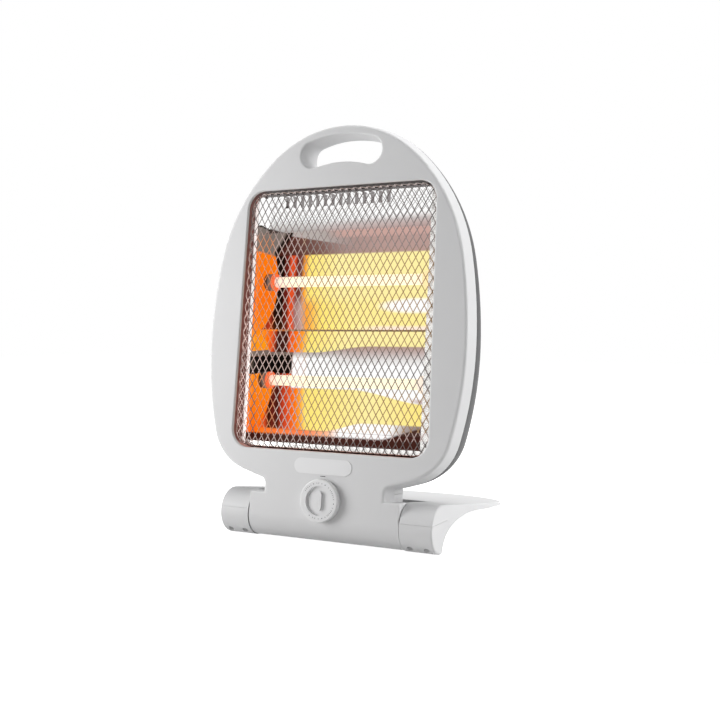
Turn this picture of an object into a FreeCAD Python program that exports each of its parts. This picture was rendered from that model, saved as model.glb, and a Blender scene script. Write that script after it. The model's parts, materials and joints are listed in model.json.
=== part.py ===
import FreeCAD, Part
import math
import os

# Portable quartz heater: an egg-shaped head with two radiant tubes behind a wire grille,
# carried on a barrel hinge between the two ears of a tongue-shaped foot.
# Millimetres. The head is drawn upright, with x to the right, y to the back and z up from the
# barrel's axis, and is then leaned back. The foot is drawn about the same axis.

# Head outline, a chain of tangent arcs
HEAD_HALF_W = 134.0
HEAD_WIDEST_Z = 157.0
FLANK_R = 445.0
FLANK_DEG = 10.1
SHOULDER_R = 168.0
SHOULDER_DEG = 48.5
LOWER_FLANK_R = 321.0
LOWER_FLANK_DEG = 15.1
LOWER_CORNER_R = 51.3
LOWER_CORNER_DEG = 71.6
STEM_HALF_W = 64.0
STEM_FILLET_R = 4.0

# Head shells
WALL = 2.5
SEAM = 0.2
RIM_DEPTH = 14.6
FACE_INSET = 3.0
EDGE_ROUND = 3.0
HEAD_DEPTH = 64.0
DOME_INSET = 36.0
DOME_SECTIONS = 6
BACK_TILT_DEG = 4.0
BACK_PIVOT_Z = 100.0
STEM_BACK = 12.0
STEM_SPLIT_Z = 27.0
STEM_TOP_Z = 37.0
LEAN_DEG = 6.45

# Barrel and hinge
BARREL_R = 20.6
BARREL_HALF_L = 76.2
BARREL_END_WALL = 3.0
RIB_T = 3.0
RIB_X = 54.0
PIN_R = 6.0
PIN_BORE_R = 3.8
PIN_COLLAR_R = 9.0
PIN_COLLAR_T = 3.0
PIN_START = 52.0
PIN_TAIL = 1.0
SEAT_CLEARANCE = 0.05
RUN_CLEARANCE = 0.06
BUSH_R = 8.5
BUSH_L = 20.0
WASHER_T = 0.8
WASHER_FREE_T = 1.8
WASHER_R = 8.8
RING_T = 1.2
RING_R = 8.2

# Front opening and grille
OPEN_BOTTOM_Z = 59.8
OPEN_SIDE_BORDER = 34.0
OPEN_TAPER = 7.2
OPEN_CORNER_R = 17.0
LIP_DEPTH = 11.0
LIP_ROUND = 1.5
MESH_GAP = 1.0
MESH_T = 1.2
MESH_SETBACK = 2.0
MESH_COLS = 11
MESH_ROWS = 12
MESH_STRAND = 2.0
MESH_MARGIN = 5.0

# Handle slot
HANDLE_HALF_L = 29.0
HANDLE_END_R = 12.5
HANDLE_BORDER = 10.8
HANDLE_OVER_OPENING = 30.7
HANDLE_RISE = 16.8
HANDLE_DIP = 8.5
HANDLE_ROUND = 2.0
HANDLE_DEPTH = 24.0
HANDLE_BACK_DEG = 19.3

# Radiant chamber
SHEET = 0.8
TUBE_LOWER_RISE = 58.0
TUBE_PITCH = 94.0
TUBE_Y = 8.0
TUBE_R = 5.0
TUBE_WALL = 1.0
TUBE_END_REACH = 2.0
COIL_R = 3.7
COIL_END_INSET = 6.0
CAP_R = 8.0
CAP_L = 23.0
CAP_OVERLAP = 12.0
TERMINAL_R = 1.5
TERMINAL_L = 4.0
CHAMBER_SIDE_INSET = 12.0
CHAMBER_BOTTOM_INSET = 6.2
CHAMBER_TOP_INSET = 0.8
TROUGH_FRONT_Y = 0.0
TROUGH_BACK_Y = 25.0
TROUGH_GAP = 1.8
SHIELD_Y = 28.0
SHIELD_OVER_TUBE = 32.0
SHIELD_UNDER_TUBE = 46.0
TOP_PLATE_Y = 5.0
SLOT_COUNT = 14
SLOT_PITCH = 8.3
SLOT_MIDDLE_X = -15.5
SLOT_W = 4.0
SLOT_H = 8.2
SLOT_TOP_MARGIN = 2.0
FRAME_W = 4.5
TAB_H = 14.0
TAB_REACH = 16.0
TAB_FROM_TUBE_LOWER = -29.0
TAB_FROM_TUBE_UPPER = 44.0
TAB_SCREW_INSET = 3.5
TAB_POST_R = 3.0

# Fasteners
SCREW_R = 1.5
SCREW_HEAD_R = 3.0
SCREW_HEAD_T = 2.4
SCREW_FIT = 0.03
HEAD_WELL_CLEARANCE = 0.2
POST_R = 4.5
COVER_SCREW_INSET = 23.0
COVER_SCREW_LOW = -43.0
COVER_SCREW_HIGH = 58.0
COVER_SCREW_FROM_HANDLE = 20.0
COVER_SCREW_OVER_CHAMBER = 16.0
COVER_JOINT_Y = 0.0
COVER_HEAD_Y = 5.0
STEM_SCREW_INSET = 24.0
STEM_SCREW_Z = 12.0
STEM_HEAD_Y = 6.0
SCREW_BITE = 14.0
TAB_SCREW_L = 7.0

# Dial and switch
DIAL_Z = 17.0
DIAL_R = 18.95
DIAL_T = 5.5
DIAL_GAP = 0.5
DIAL_EDGE = 1.0
DISH_R = 13.0
DISH_DEPTH = 2.4
GRIP_W = 5.5
GRIP_L = 17.0
SPINDLE_R = 3.0
SPINDLE_IN_KNOB = 2.4
SPINDLE_IN_SWITCH = 5.0
SPINDLE_HOLE_CLEARANCE = 0.4
SWITCH_W = 26.0
SWITCH_H = 26.0
SWITCH_D = 19.0

# Small inner pieces
TILT_SWITCH_X = -26.0
TILT_SWITCH_W = 18.0
TILT_SWITCH_H = 15.0
TILT_SWITCH_D = 12.0
BLOCK_X = 34.0
BLOCK_W = 30.0
BLOCK_Z = 37.0
BLOCK_H = 14.0
BLOCK_D = 12.0
CUTOUT_R = 6.0
CUTOUT_T = 4.0
CUTOUT_OVER_TUBE = 47.0
INLET_X = -55.0
INLET_Z = 88.0
INLET_R = 6.0
INLET_BORE_R = 3.6
INLET_FLANGE_R = 9.0
INLET_FLANGE_T = 2.0
VENT_ROWS = 7
VENT_PITCH = 9.0
VENT_L = 52.0
VENT_W = 4.0
VENT_ROUND = 1.8
VENT_COLS_X = (-44.0, 44.0)
VENT_GROUPS_Z = (125.0, 232.0)

# Foot
EAR_R = 21.2
EAR_GAP = 0.8
EAR_W = 30.7
EAR_FLAT = 0.4
EAR_EDGE = 1.5
EAR_INNER_WALL = 2.0
EAR_POCKET_R = 9.5
EAR_POCKET_L = 6.0
EAR_SPLIT_Z = 6.0
EAR_COVER_BACK = 14.0
FOOT_SIDE_L = 118.0
FOOT_FLANK_R = 165.0
FOOT_FLANK_DEG = 50.0
FOOT_END_T = 3.0
HEEL_V = 3.0
SOLE = ((10.9, 26.0), (30.0, 15.3), (73.0, 6.6), (130.0, 3.5))
FOOT_SKIN = 2.8
FOOT_BAYS = 5
FOOT_RIB_T = 2.4
FOOT_POCKET_START = 50.0
NOTCH_V = 36.0
REAR_LIFT = 1.2
PAD_R = 9.0
PAD_X = 32.0
PAD_FROM_END = 16.0
EAR_SCREW_Y = -13.2
EAR_SCREW_FROM_ENDS = 7.5
EAR_SCREW_HEAD_Z = -9.0
EAR_SCREW_L = 20.0
EAR_NICK_FROM_END = 4.0
EAR_NICK_W = 2.2
EAR_NICK_DEPTH = 2.0


def polar(centre, radius, angle):
    return (centre[0] + radius * math.cos(angle), centre[1] + radius * math.sin(angle))


# Three tangent arcs from the widest point to the centre line, above (sign 1) or below (-1).

def flank_arcs(flank_r, flank_deg, corner_r, corner_deg, sign):
    a = sign * math.radians(flank_deg)
    b = sign * math.radians(corner_deg)
    flank = (HEAD_HALF_W - flank_r, HEAD_WIDEST_Z)
    corner = polar(flank, flank_r - corner_r, a)
    cap_r = corner_r + corner[0] / math.cos(b)
    cap = polar(corner, corner_r - cap_r, b)
    return [
        (flank, flank_r, 0.0, a),
        (corner, corner_r, a, b),
        ((0.0, cap[1]), cap_r, b, sign * math.pi / 2),
    ]


UPPER_ARCS = flank_arcs(FLANK_R, FLANK_DEG, SHOULDER_R, SHOULDER_DEG, 1)
LOWER_ARCS = flank_arcs(LOWER_FLANK_R, LOWER_FLANK_DEG, LOWER_CORNER_R, LOWER_CORNER_DEG, -1)


# Derived places
FACE_Y = -BARREL_R
PART_Y = FACE_Y + RIM_DEPTH
LIP_BACK = FACE_Y + LIP_DEPTH
BACK_Y = FACE_Y + HEAD_DEPTH
DOME_DEPTH = BACK_Y - PART_Y
EAR_IN = BARREL_HALF_L + EAR_GAP
EAR_OUT = EAR_IN + EAR_W
AXIS_Z = EAR_R - EAR_FLAT
TROUGH_HALF_H = (TUBE_PITCH - TROUGH_GAP) / 2
BUSH_START = EAR_IN + EAR_INNER_WALL
BUSH_END = BUSH_START + BUSH_L
RING_X = BUSH_END + WASHER_FREE_T
PIN_END = RING_X + RING_T + PIN_TAIL
INNER_FACE_Y = FACE_Y + WALL
INNER_BACK_Y = BACK_Y - WALL
FAR = 600.0
CUT = 1.0
OPEN_BOTTOM_W = 2 * (HEAD_HALF_W - OPEN_SIDE_BORDER)
OPEN_TOP_W = OPEN_BOTTOM_W - OPEN_TAPER
HEAD_TOP_Z = UPPER_ARCS[2][0][1] + UPPER_ARCS[2][1]
HANDLE_TOP_Z = HEAD_TOP_Z - HANDLE_BORDER
HANDLE_END_Z = HANDLE_TOP_Z - HANDLE_RISE
OPEN_TOP_Z = HANDLE_END_Z - HANDLE_OVER_OPENING
OPEN_H = OPEN_TOP_Z - OPEN_BOTTOM_Z
HANDLE_BOTTOM_Z = HANDLE_END_Z - HANDLE_DIP
CHAMBER_HALF_W = OPEN_BOTTOM_W / 2 - CHAMBER_SIDE_INSET
CHAMBER_BOTTOM_Z = OPEN_BOTTOM_Z + CHAMBER_BOTTOM_INSET
CHAMBER_TOP_Z = OPEN_TOP_Z - CHAMBER_TOP_INSET
TUBE_LOWER_Z = CHAMBER_BOTTOM_Z + TUBE_LOWER_RISE
TUBE_UPPER_Z = TUBE_LOWER_Z + TUBE_PITCH
TUBE_HALF_L = CHAMBER_HALF_W + TUBE_END_REACH
COIL_HALF_L = TUBE_HALF_L - COIL_END_INSET
SHIELD_TOP_Z = TUBE_UPPER_Z + SHIELD_OVER_TUBE
SHIELD_BOTTOM_Z = TUBE_LOWER_Z - SHIELD_UNDER_TUBE
CUTOUT_Z = TUBE_LOWER_Z + CUTOUT_OVER_TUBE
TAB_ZS = (TUBE_LOWER_Z + TAB_FROM_TUBE_LOWER, TUBE_UPPER_Z + TAB_FROM_TUBE_UPPER)
COVER_SCREWS = (
    (HEAD_HALF_W - COVER_SCREW_INSET, HEAD_WIDEST_Z + COVER_SCREW_LOW),
    (HEAD_HALF_W - COVER_SCREW_INSET, HEAD_WIDEST_Z + COVER_SCREW_HIGH),
    (HANDLE_HALF_L + HANDLE_END_R + COVER_SCREW_FROM_HANDLE, CHAMBER_TOP_Z + COVER_SCREW_OVER_CHAMBER),
)
STEM_SCREWS = ((STEM_HALF_W - STEM_SCREW_INSET, STEM_SCREW_Z),)

V = FreeCAD.Vector
X_AXIS = V(1, 0, 0)
Y_AXIS = V(0, 1, 0)
Z_AXIS = V(0, 0, 1)


# Basic shapes

def box(x0, x1, y0, y1, z0, z1):
    return Part.makeBox(x1 - x0, y1 - y0, z1 - z0, V(x0, y0, z0))


def rod(radius, start, axis, length):
    return Part.makeCylinder(radius, length, start, axis)


def ring(outer, inner, start, axis, length):
    return rod(outer, start, axis, length).cut(rod(inner, start, axis, length))


def fuse_all(shapes):
    return shapes[0].multiFuse(shapes[1:]).removeSplitter() if len(shapes) > 1 else shapes[0]


def mirrored(shape):
    return shape.mirror(V(0, 0, 0), X_AXIS)


def both_sides(shape):
    return [shape, mirrored(shape)]


def arc_edge(points, y):
    a, b, c = [V(p[0], y, p[1]) for p in points]
    return Part.Arc(a, b, c).toShape()


def line_edge(a, b, y):
    return Part.makeLine(V(a[0], y, a[1]), V(b[0], y, b[1]))


def prism(wire, length):
    return Part.Face(wire).extrude(V(0, length, 0))


# A half outline is a list of arcs (three points) and lines (two points) from bottom to top;
# the other half is its mirror image.

def closed_outline(pieces, y):
    left = [[(-x, z) for x, z in reversed(piece)] for piece in reversed(pieces)]
    edges = []
    for piece in pieces + left:
        edges.append(arc_edge(piece, y) if len(piece) == 3 else line_edge(piece[0], piece[1], y))
    bottom_left = left[-1][-1]
    bottom_right = pieces[0][0]
    if abs(bottom_right[0]) > 1e-6:
        edges.append(line_edge(bottom_left, bottom_right, y))
    return Part.Wire(edges)


def arc_piece(centre, radius, start, end):
    return [polar(centre, radius, a) for a in (start, (start + end) / 2, end)]


def egg_outline(inset, y):
    lower = [arc_piece(c, r - inset, end, start) for c, r, start, end in reversed(LOWER_ARCS)]
    upper = [arc_piece(c, r - inset, start, end) for c, r, start, end in UPPER_ARCS]
    return closed_outline(lower + upper, y)


# The egg with the stem below it, down to the barrel's axis.

def stem_outline(inset, y):
    half = STEM_HALF_W - inset
    fillet_r = STEM_FILLET_R + inset
    base_centre, base_r, base_start, base_end = LOWER_ARCS[2]
    base_r -= inset
    fillet_x = half + fillet_r
    fillet_z = base_centre[1] - math.sqrt((base_r + fillet_r) ** 2 - fillet_x ** 2)
    touch = math.atan2(fillet_z - base_centre[1], fillet_x)
    side = [(half, 0.0), (half, fillet_z)]
    fillet = arc_piece((fillet_x, fillet_z), fillet_r, math.pi, touch + math.pi)
    base = arc_piece(base_centre, base_r, touch, base_start)
    lower = [arc_piece(c, r - inset, end, start) for c, r, start, end in reversed(LOWER_ARCS[:2])]
    upper = [arc_piece(c, r - inset, start, end) for c, r, start, end in UPPER_ARCS]
    return closed_outline([side, fillet, base] + lower + upper, y)


# A polygon with rounded corners, as a closed wire at y.

def rounded_polygon(points, radius, y):
    edges = []
    ends = []
    count = len(points)
    for i in range(count):
        p = V(points[i][0], y, points[i][1])
        before = V(points[i - 1][0], y, points[i - 1][1]) - p
        after = V(points[(i + 1) % count][0], y, points[(i + 1) % count][1]) - p
        half_turn = before.getAngle(after) / 2
        reach = radius / math.tan(half_turn)
        start = p + before.normalize() * reach
        end = p + after.normalize() * reach
        bisector = (before + after).normalize()
        middle = p + bisector * (radius / math.sin(half_turn) - radius)
        ends.append((start, end))
        edges.append(Part.Arc(start, middle, end).toShape())
    chain = []
    for i in range(count):
        chain.append(edges[i])
        chain.append(Part.makeLine(ends[i][1], ends[(i + 1) % count][0]))
    return Part.Wire(chain)


def opening_outline(inset, y):
    low = OPEN_BOTTOM_Z + inset
    high = OPEN_TOP_Z - inset
    bottom = OPEN_BOTTOM_W / 2 - inset
    top = OPEN_TOP_W / 2 - inset
    corners = [(-bottom, low), (bottom, low), (top, high), (-top, high)]
    return rounded_polygon(corners, OPEN_CORNER_R - inset, y)


# The handle slot: an arched top edge, a bowed bottom edge and round ends, all tangent.

def handle_outline(grow, y):
    end_r = HANDLE_END_R + grow
    end = (HANDLE_HALF_L, HANDLE_END_Z)
    rise = HANDLE_TOP_Z - HANDLE_END_Z
    top_r = (HANDLE_HALF_L ** 2 + rise ** 2 - HANDLE_END_R ** 2) / (2 * (rise - HANDLE_END_R))
    top = (0.0, HANDLE_TOP_Z - top_r)
    dip = HANDLE_END_Z - HANDLE_BOTTOM_Z
    low_r = (HANDLE_HALF_L ** 2 + dip ** 2 - HANDLE_END_R ** 2) / (2 * (HANDLE_END_R - dip))
    low = (0.0, HANDLE_BOTTOM_Z - low_r)
    top_angle = math.atan2(end[1] - top[1], end[0] - top[0])
    low_angle = math.atan2(end[1] - low[1], end[0] - low[0])
    pieces = [
        arc_piece(low, low_r - grow, math.pi / 2, low_angle),
        arc_piece(end, end_r, low_angle - math.pi, top_angle),
        arc_piece(top, top_r + grow, top_angle, math.pi / 2),
    ]
    return closed_outline(pieces, y)


# Domed back: the egg outline drawn in along a quarter ellipse, tilted, and cut to a slope behind
# the handle so that a hand closes round it.

def tilted(shape, share):
    shape.rotate(V(0, PART_Y, BACK_PIVOT_Z), X_AXIS, share * BACK_TILT_DEG)
    return shape


def dome(wall):
    wires = []
    for i in range(DOME_SECTIONS):
        t = math.pi / 2 * i / (DOME_SECTIONS - 1)
        inset = wall + DOME_INSET * (1 - math.cos(t))
        section = egg_outline(inset, PART_Y + (DOME_DEPTH - wall) * math.sin(t))
        wires.append(tilted(section, math.sin(t)))
    return Part.makeLoft(wires, True, False).cut(behind_handle(wall))


def behind_handle(wall):
    slope = math.radians(HANDLE_BACK_DEG)
    zone = box(-FAR, FAR, 0, FAR, -FAR, FAR)
    zone.rotate(V(0, 0, 0), X_AXIS, HANDLE_BACK_DEG)
    zone.translate(V(0, FACE_Y + HANDLE_DEPTH - wall / math.cos(slope), HANDLE_TOP_Z))
    return zone


def front_edges(shape, y, z_low, z_high):
    found = []
    for edge in shape.Edges:
        b = edge.BoundBox
        if abs(b.YMin - y) < 1e-3 and abs(b.YMax - y) < 1e-3 and b.ZMin > z_low and b.ZMax < z_high:
            found.append(edge)
    return found


# Front panel block, wider at its back than at its face; the outer one (wall 0) has a rounded edge.

def panel_block(wall):
    face = stem_outline(wall + FACE_INSET, FACE_Y + wall)
    block = Part.makeLoft([face, stem_outline(wall, PART_Y)], True, True)
    if wall > 0:
        return block
    edges = [e for e in front_edges(block, FACE_Y, -CUT, FAR) if e.BoundBox.ZMax > SEAM]
    return block.makeFillet(EDGE_ROUND, edges)


def head_volume(wall):
    half = STEM_HALF_W - wall
    stem = box(-half, half, PART_Y, STEM_BACK - wall, 0, STEM_TOP_Z)
    barrel_l = BARREL_HALF_L - (BARREL_END_WALL if wall else 0)
    barrel = rod(BARREL_R - wall, V(-barrel_l, 0, 0), X_AXIS, 2 * barrel_l)
    return fuse_all([panel_block(wall), dome(wall), stem, barrel])


# Screw posts: a boss on the front shell, a sleeve on the rear shell and the screw through both.

def post_front(x, z, joint_y):
    return rod(POST_R, V(x, INNER_FACE_Y - SEAM, z), Y_AXIS, joint_y - INNER_FACE_Y)


def post_back(x, z, joint_y):
    return rod(POST_R, V(x, joint_y, z), Y_AXIS, FAR)


def screw(x, z, head_y, bite):
    head = rod(SCREW_HEAD_R, V(x, head_y, z), Y_AXIS, SCREW_HEAD_T)
    return head.fuse(rod(SCREW_R, V(x, head_y - bite, z), Y_AXIS, bite))


def screw_hole(x, z, head_y, bite):
    shank = rod(SCREW_R + SCREW_FIT, V(x, head_y - bite - SCREW_HEAD_T, z), Y_AXIS, bite + SCREW_HEAD_T)
    well = rod(SCREW_HEAD_R + HEAD_WELL_CLEARANCE, V(x, head_y, z), Y_AXIS, FAR)
    return shank.fuse(well)


def cover_bite():
    return COVER_HEAD_Y - COVER_JOINT_Y + SCREW_BITE


def stem_bite():
    return STEM_HEAD_Y + SCREW_BITE - SCREW_HEAD_T


def mirrored_spots(spots):
    return [(sign * x, z) for x, z in spots for sign in (1, -1)]


# Head shells

def hinge_ribs():
    rib = rod(BARREL_R - WALL + SEAM, V(RIB_X, 0, 0), X_AXIS, RIB_T)
    return both_sides(rib)


def hinge_bore():
    length = 2 * (BARREL_HALF_L + CUT)
    return rod(PIN_R + SEAT_CLEARANCE, V(-length / 2, 0, 0), X_AXIS, length)


def head_shells():
    outer = head_volume(0.0)
    shell = outer.cut(head_volume(WALL))
    shell = fuse_all([shell] + [rib.common(outer) for rib in hinge_ribs()])
    shell = shell.cut(hinge_bore())
    low = STEM_SPLIT_Z
    front_zone = box(-FAR, FAR, -FAR, PART_Y - SEAM / 2, -FAR, FAR)
    front_zone = front_zone.fuse(box(-FAR, FAR, -FAR, -SEAM / 2, -FAR, low - SEAM / 2))
    rear_zone = box(-FAR, FAR, PART_Y + SEAM / 2, FAR, low + SEAM / 2, FAR)
    stem_zone = box(-FAR, FAR, SEAM / 2, FAR, -FAR, low - SEAM / 2)
    return outer, shell.common(front_zone), shell.common(rear_zone), shell.common(stem_zone)


def handle_tunnel(outer):
    tunnel = prism(handle_outline(WALL, FACE_Y), HEAD_DEPTH)
    return tunnel.common(outer)


def make_front_casing(outer, front):
    tunnel = handle_tunnel(outer)
    lip = prism(opening_outline(-WALL, FACE_Y), LIP_DEPTH)
    front = front.fuse(lip).removeSplitter()
    front = front.cut(prism(opening_outline(0.0, FACE_Y - CUT), HEAD_DEPTH))
    front = front.fuse(tunnel).removeSplitter()
    front = front.cut(prism(handle_outline(0.0, FACE_Y - CUT), FAR))
    front = front.makeFillet(HANDLE_ROUND, front_edges(front, FACE_Y, OPEN_TOP_Z + CUT, HANDLE_TOP_Z + CUT))
    front = front.makeFillet(LIP_ROUND, front_edges(front, FACE_Y, OPEN_BOTTOM_Z - CUT, OPEN_TOP_Z + CUT))
    posts = [post_front(x, z, COVER_JOINT_Y) for x, z in mirrored_spots(COVER_SCREWS)]
    posts += [post_front(x, z, 0.0) for x, z in mirrored_spots(STEM_SCREWS)]
    tab_post_l = LIP_BACK - INNER_FACE_Y + SEAM
    for x, z in tab_screw_spots():
        posts.append(rod(TAB_POST_R, V(x, INNER_FACE_Y - SEAM, z), Y_AXIS, tab_post_l))
    front = fuse_all([front] + posts)
    for x, z in mirrored_spots(COVER_SCREWS):
        front = front.cut(screw_hole(x, z, COVER_HEAD_Y, cover_bite()))
    for x, z in mirrored_spots(STEM_SCREWS):
        front = front.cut(screw_hole(x, z, STEM_HEAD_Y, stem_bite()))
    for x, z in tab_screw_spots():
        front = front.cut(screw_hole(x, z, LIP_BACK + SHEET, TAB_SCREW_L))
    hole_r = SPINDLE_R + SPINDLE_HOLE_CLEARANCE
    spindle_hole = rod(hole_r, V(0, FACE_Y - CUT, DIAL_Z), Y_AXIS, WALL + 2 * CUT)
    return front.cut(spindle_hole)


def make_rear_cover(outer, rear):
    sleeves = [post_back(x, z, COVER_JOINT_Y).common(outer) for x, z in mirrored_spots(COVER_SCREWS)]
    rear = fuse_all([rear] + sleeves)
    for x, z in mirrored_spots(COVER_SCREWS):
        rear = rear.cut(screw_hole(x, z, COVER_HEAD_Y, cover_bite()))
    rear = rear.cut(prism(handle_outline(WALL + SEAM, FACE_Y), FAR))
    inlet_hole = rod(INLET_R + SEAT_CLEARANCE, V(INLET_X, SHIELD_Y, INLET_Z), Y_AXIS, FAR)
    return rear.cut(tilted(inlet_hole, 1)).cut(tilted(Part.makeCompound(vent_slots()), 1))


def vent_slots():
    slots = []
    for group_z in VENT_GROUPS_Z:
        for x in VENT_COLS_X:
            for row in range(VENT_ROWS):
                z = group_z + (row - (VENT_ROWS - 1) / 2) * VENT_PITCH
                corners = [(x - VENT_L / 2, z - VENT_W / 2), (x + VENT_L / 2, z - VENT_W / 2),
                           (x + VENT_L / 2, z + VENT_W / 2), (x - VENT_L / 2, z + VENT_W / 2)]
                wire = rounded_polygon(corners, VENT_ROUND, INNER_BACK_Y - CUT)
                slots.append(prism(wire, WALL + 2 * CUT))
    return slots


def make_stem_back_cover(outer, stem):
    sleeves = [post_back(x, z, SEAM / 2).common(outer) for x, z in mirrored_spots(STEM_SCREWS)]
    stem = fuse_all([stem] + sleeves)
    for x, z in mirrored_spots(STEM_SCREWS):
        stem = stem.cut(screw_hole(x, z, STEM_HEAD_Y, stem_bite()))
    return stem


# Grille: a flat diamond net with a rim folded back all round

def diamond(x, z, half_w, half_h, y):
    points = [(x - half_w, z), (x, z - half_h), (x + half_w, z), (x, z + half_h)]
    vectors = [V(px, y, pz) for px, pz in points]
    return Part.makePolygon(vectors + vectors[:1])


def make_grille_mesh():
    y = FACE_Y + MESH_SETBACK
    outer = opening_outline(MESH_GAP, y)
    net_w = OPEN_TOP_W - 2 * (MESH_GAP + MESH_MARGIN)
    net_h = OPEN_H - 2 * (MESH_GAP + MESH_MARGIN)
    cell_w = net_w / MESH_COLS
    cell_h = net_h / MESH_ROWS
    slope = math.hypot(cell_w, cell_h)
    half_w = cell_w / 2 - MESH_STRAND / 2 * slope / cell_h
    half_h = cell_h / 2 - MESH_STRAND / 2 * slope / cell_w
    low = OPEN_BOTTOM_Z + MESH_GAP + MESH_MARGIN
    holes = []
    for row in range(2 * MESH_ROWS - 1):
        shift = row % 2
        z = low + (row + 1) * cell_h / 2
        for col in range(MESH_COLS - shift):
            x = (col + 0.5 + shift / 2) * cell_w - net_w / 2
            holes.append(diamond(x, z, half_w, half_h, y))
    net = Part.makeFace([outer] + holes, "Part::FaceMakerBullseye").extrude(V(0, MESH_T, 0))
    rim_l = LIP_BACK - y - MESH_T
    rim = prism(opening_outline(MESH_GAP, y + MESH_T), rim_l)
    rim = rim.cut(prism(opening_outline(MESH_GAP + MESH_T, y + MESH_T), rim_l))
    return net.fuse(rim).removeSplitter()


# Radiant chamber

def trough(tube_z):
    depth = TROUGH_BACK_Y - TROUGH_FRONT_Y
    radius = (TROUGH_HALF_H ** 2 + depth ** 2) / (2 * depth)
    axis_y = TROUGH_BACK_Y - radius
    half = CHAMBER_HALF_W - SEAM
    curve = ring(radius + SHEET, radius, V(-half, axis_y, tube_z), X_AXIS, 2 * half)
    keep = box(-half, half, TROUGH_FRONT_Y, FAR, tube_z - TROUGH_HALF_H, tube_z + TROUGH_HALF_H)
    return curve.common(keep)


def make_top_plate():
    half = CHAMBER_HALF_W - SEAM
    low = TUBE_UPPER_Z + TROUGH_HALF_H + SEAM
    front = LIP_BACK + SHEET
    back = box(-half, half, TOP_PLATE_Y, TOP_PLATE_Y + SHEET, low, CHAMBER_TOP_Z)
    roof = box(-half, half, front, TOP_PLATE_Y + SHEET, CHAMBER_TOP_Z - SHEET, CHAMBER_TOP_Z)
    ledge = box(-half, half, TROUGH_FRONT_Y, TOP_PLATE_Y + SHEET, low, low + SHEET)
    plate = fuse_all([back, roof, ledge])
    slot_top = CHAMBER_TOP_Z - SHEET - SLOT_TOP_MARGIN
    for i in range(SLOT_COUNT):
        x = SLOT_MIDDLE_X + (i - (SLOT_COUNT - 1) / 2) * SLOT_PITCH
        half_w = SLOT_W / 2
        slot = box(x - half_w, x + half_w, TOP_PLATE_Y - CUT, FAR, slot_top - SLOT_H, slot_top)
        plate = plate.cut(slot)
    return plate


def make_bottom_plate():
    half = CHAMBER_HALF_W - SEAM
    high = TUBE_LOWER_Z - TROUGH_HALF_H - SEAM
    back = box(-half, half, TROUGH_FRONT_Y, TROUGH_FRONT_Y + SHEET, CHAMBER_BOTTOM_Z, high)
    top = CHAMBER_BOTTOM_Z + SHEET
    floor = box(-half, half, LIP_BACK + SHEET, TROUGH_FRONT_Y + SHEET, CHAMBER_BOTTOM_Z, top)
    return back.fuse(floor).removeSplitter()


def make_side_plate():
    front = LIP_BACK + SHEET
    outside = CHAMBER_HALF_W + SHEET
    step_z = TUBE_UPPER_Z + TROUGH_HALF_H
    plate = box(CHAMBER_HALF_W, outside, front, SHIELD_Y, CHAMBER_BOTTOM_Z, step_z)
    upper = box(CHAMBER_HALF_W, outside, front, TOP_PLATE_Y + SHEET, step_z, CHAMBER_TOP_Z)
    plate = plate.fuse(upper).removeSplitter()
    for z in (TUBE_LOWER_Z, TUBE_UPPER_Z):
        start = V(CHAMBER_HALF_W - CUT, TUBE_Y, z)
        plate = plate.cut(rod(CAP_R + SEAT_CLEARANCE, start, X_AXIS, SHEET + 2 * CUT))
    return plate


def tab_screw_spots():
    x = CHAMBER_HALF_W + FRAME_W + TAB_REACH - TAB_SCREW_INSET
    return mirrored_spots([(x, z) for z in TAB_ZS])


def make_reflector_frame():
    half = CHAMBER_HALF_W + FRAME_W
    low = CHAMBER_BOTTOM_Z - FRAME_W
    high = CHAMBER_TOP_Z + FRAME_W
    back = LIP_BACK + SHEET
    frame = box(-half, half, LIP_BACK, back, low, high)
    mouth = CHAMBER_HALF_W
    frame = frame.cut(box(-mouth, mouth, LIP_BACK - CUT, back + CUT, CHAMBER_BOTTOM_Z, CHAMBER_TOP_Z))
    tabs = []
    for z in TAB_ZS:
        tabs += both_sides(box(half, half + TAB_REACH, LIP_BACK, back, z - TAB_H / 2, z + TAB_H / 2))
    frame = fuse_all([frame] + tabs)
    for x, z in tab_screw_spots():
        frame = frame.cut(rod(SCREW_R + SCREW_FIT, V(x, LIP_BACK - CUT, z), Y_AXIS, SHEET + 2 * CUT))
    return frame


def make_heat_shield():
    half = CHAMBER_HALF_W + SHEET
    return box(-half, half, SHIELD_Y, SHIELD_Y + SHEET, SHIELD_BOTTOM_Z, SHIELD_TOP_Z)


def make_tube(z):
    return ring(TUBE_R, TUBE_R - TUBE_WALL, V(-TUBE_HALF_L, TUBE_Y, z), X_AXIS, 2 * TUBE_HALF_L)


def make_coil(z):
    return rod(COIL_R, V(-COIL_HALF_L, TUBE_Y, z), X_AXIS, 2 * COIL_HALF_L)


def make_tube_cap(z):
    start = TUBE_HALF_L - CAP_OVERLAP
    cap = rod(CAP_R, V(start, TUBE_Y, z), X_AXIS, CAP_L)
    cap = cap.cut(rod(TUBE_R + SEAT_CLEARANCE, V(start, TUBE_Y, z), X_AXIS, CAP_OVERLAP + SEAT_CLEARANCE))
    return cap.fuse(rod(TERMINAL_R, V(start + CAP_L, TUBE_Y, z), X_AXIS, TERMINAL_L)).removeSplitter()


# Dial, switch and small inner pieces

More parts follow.
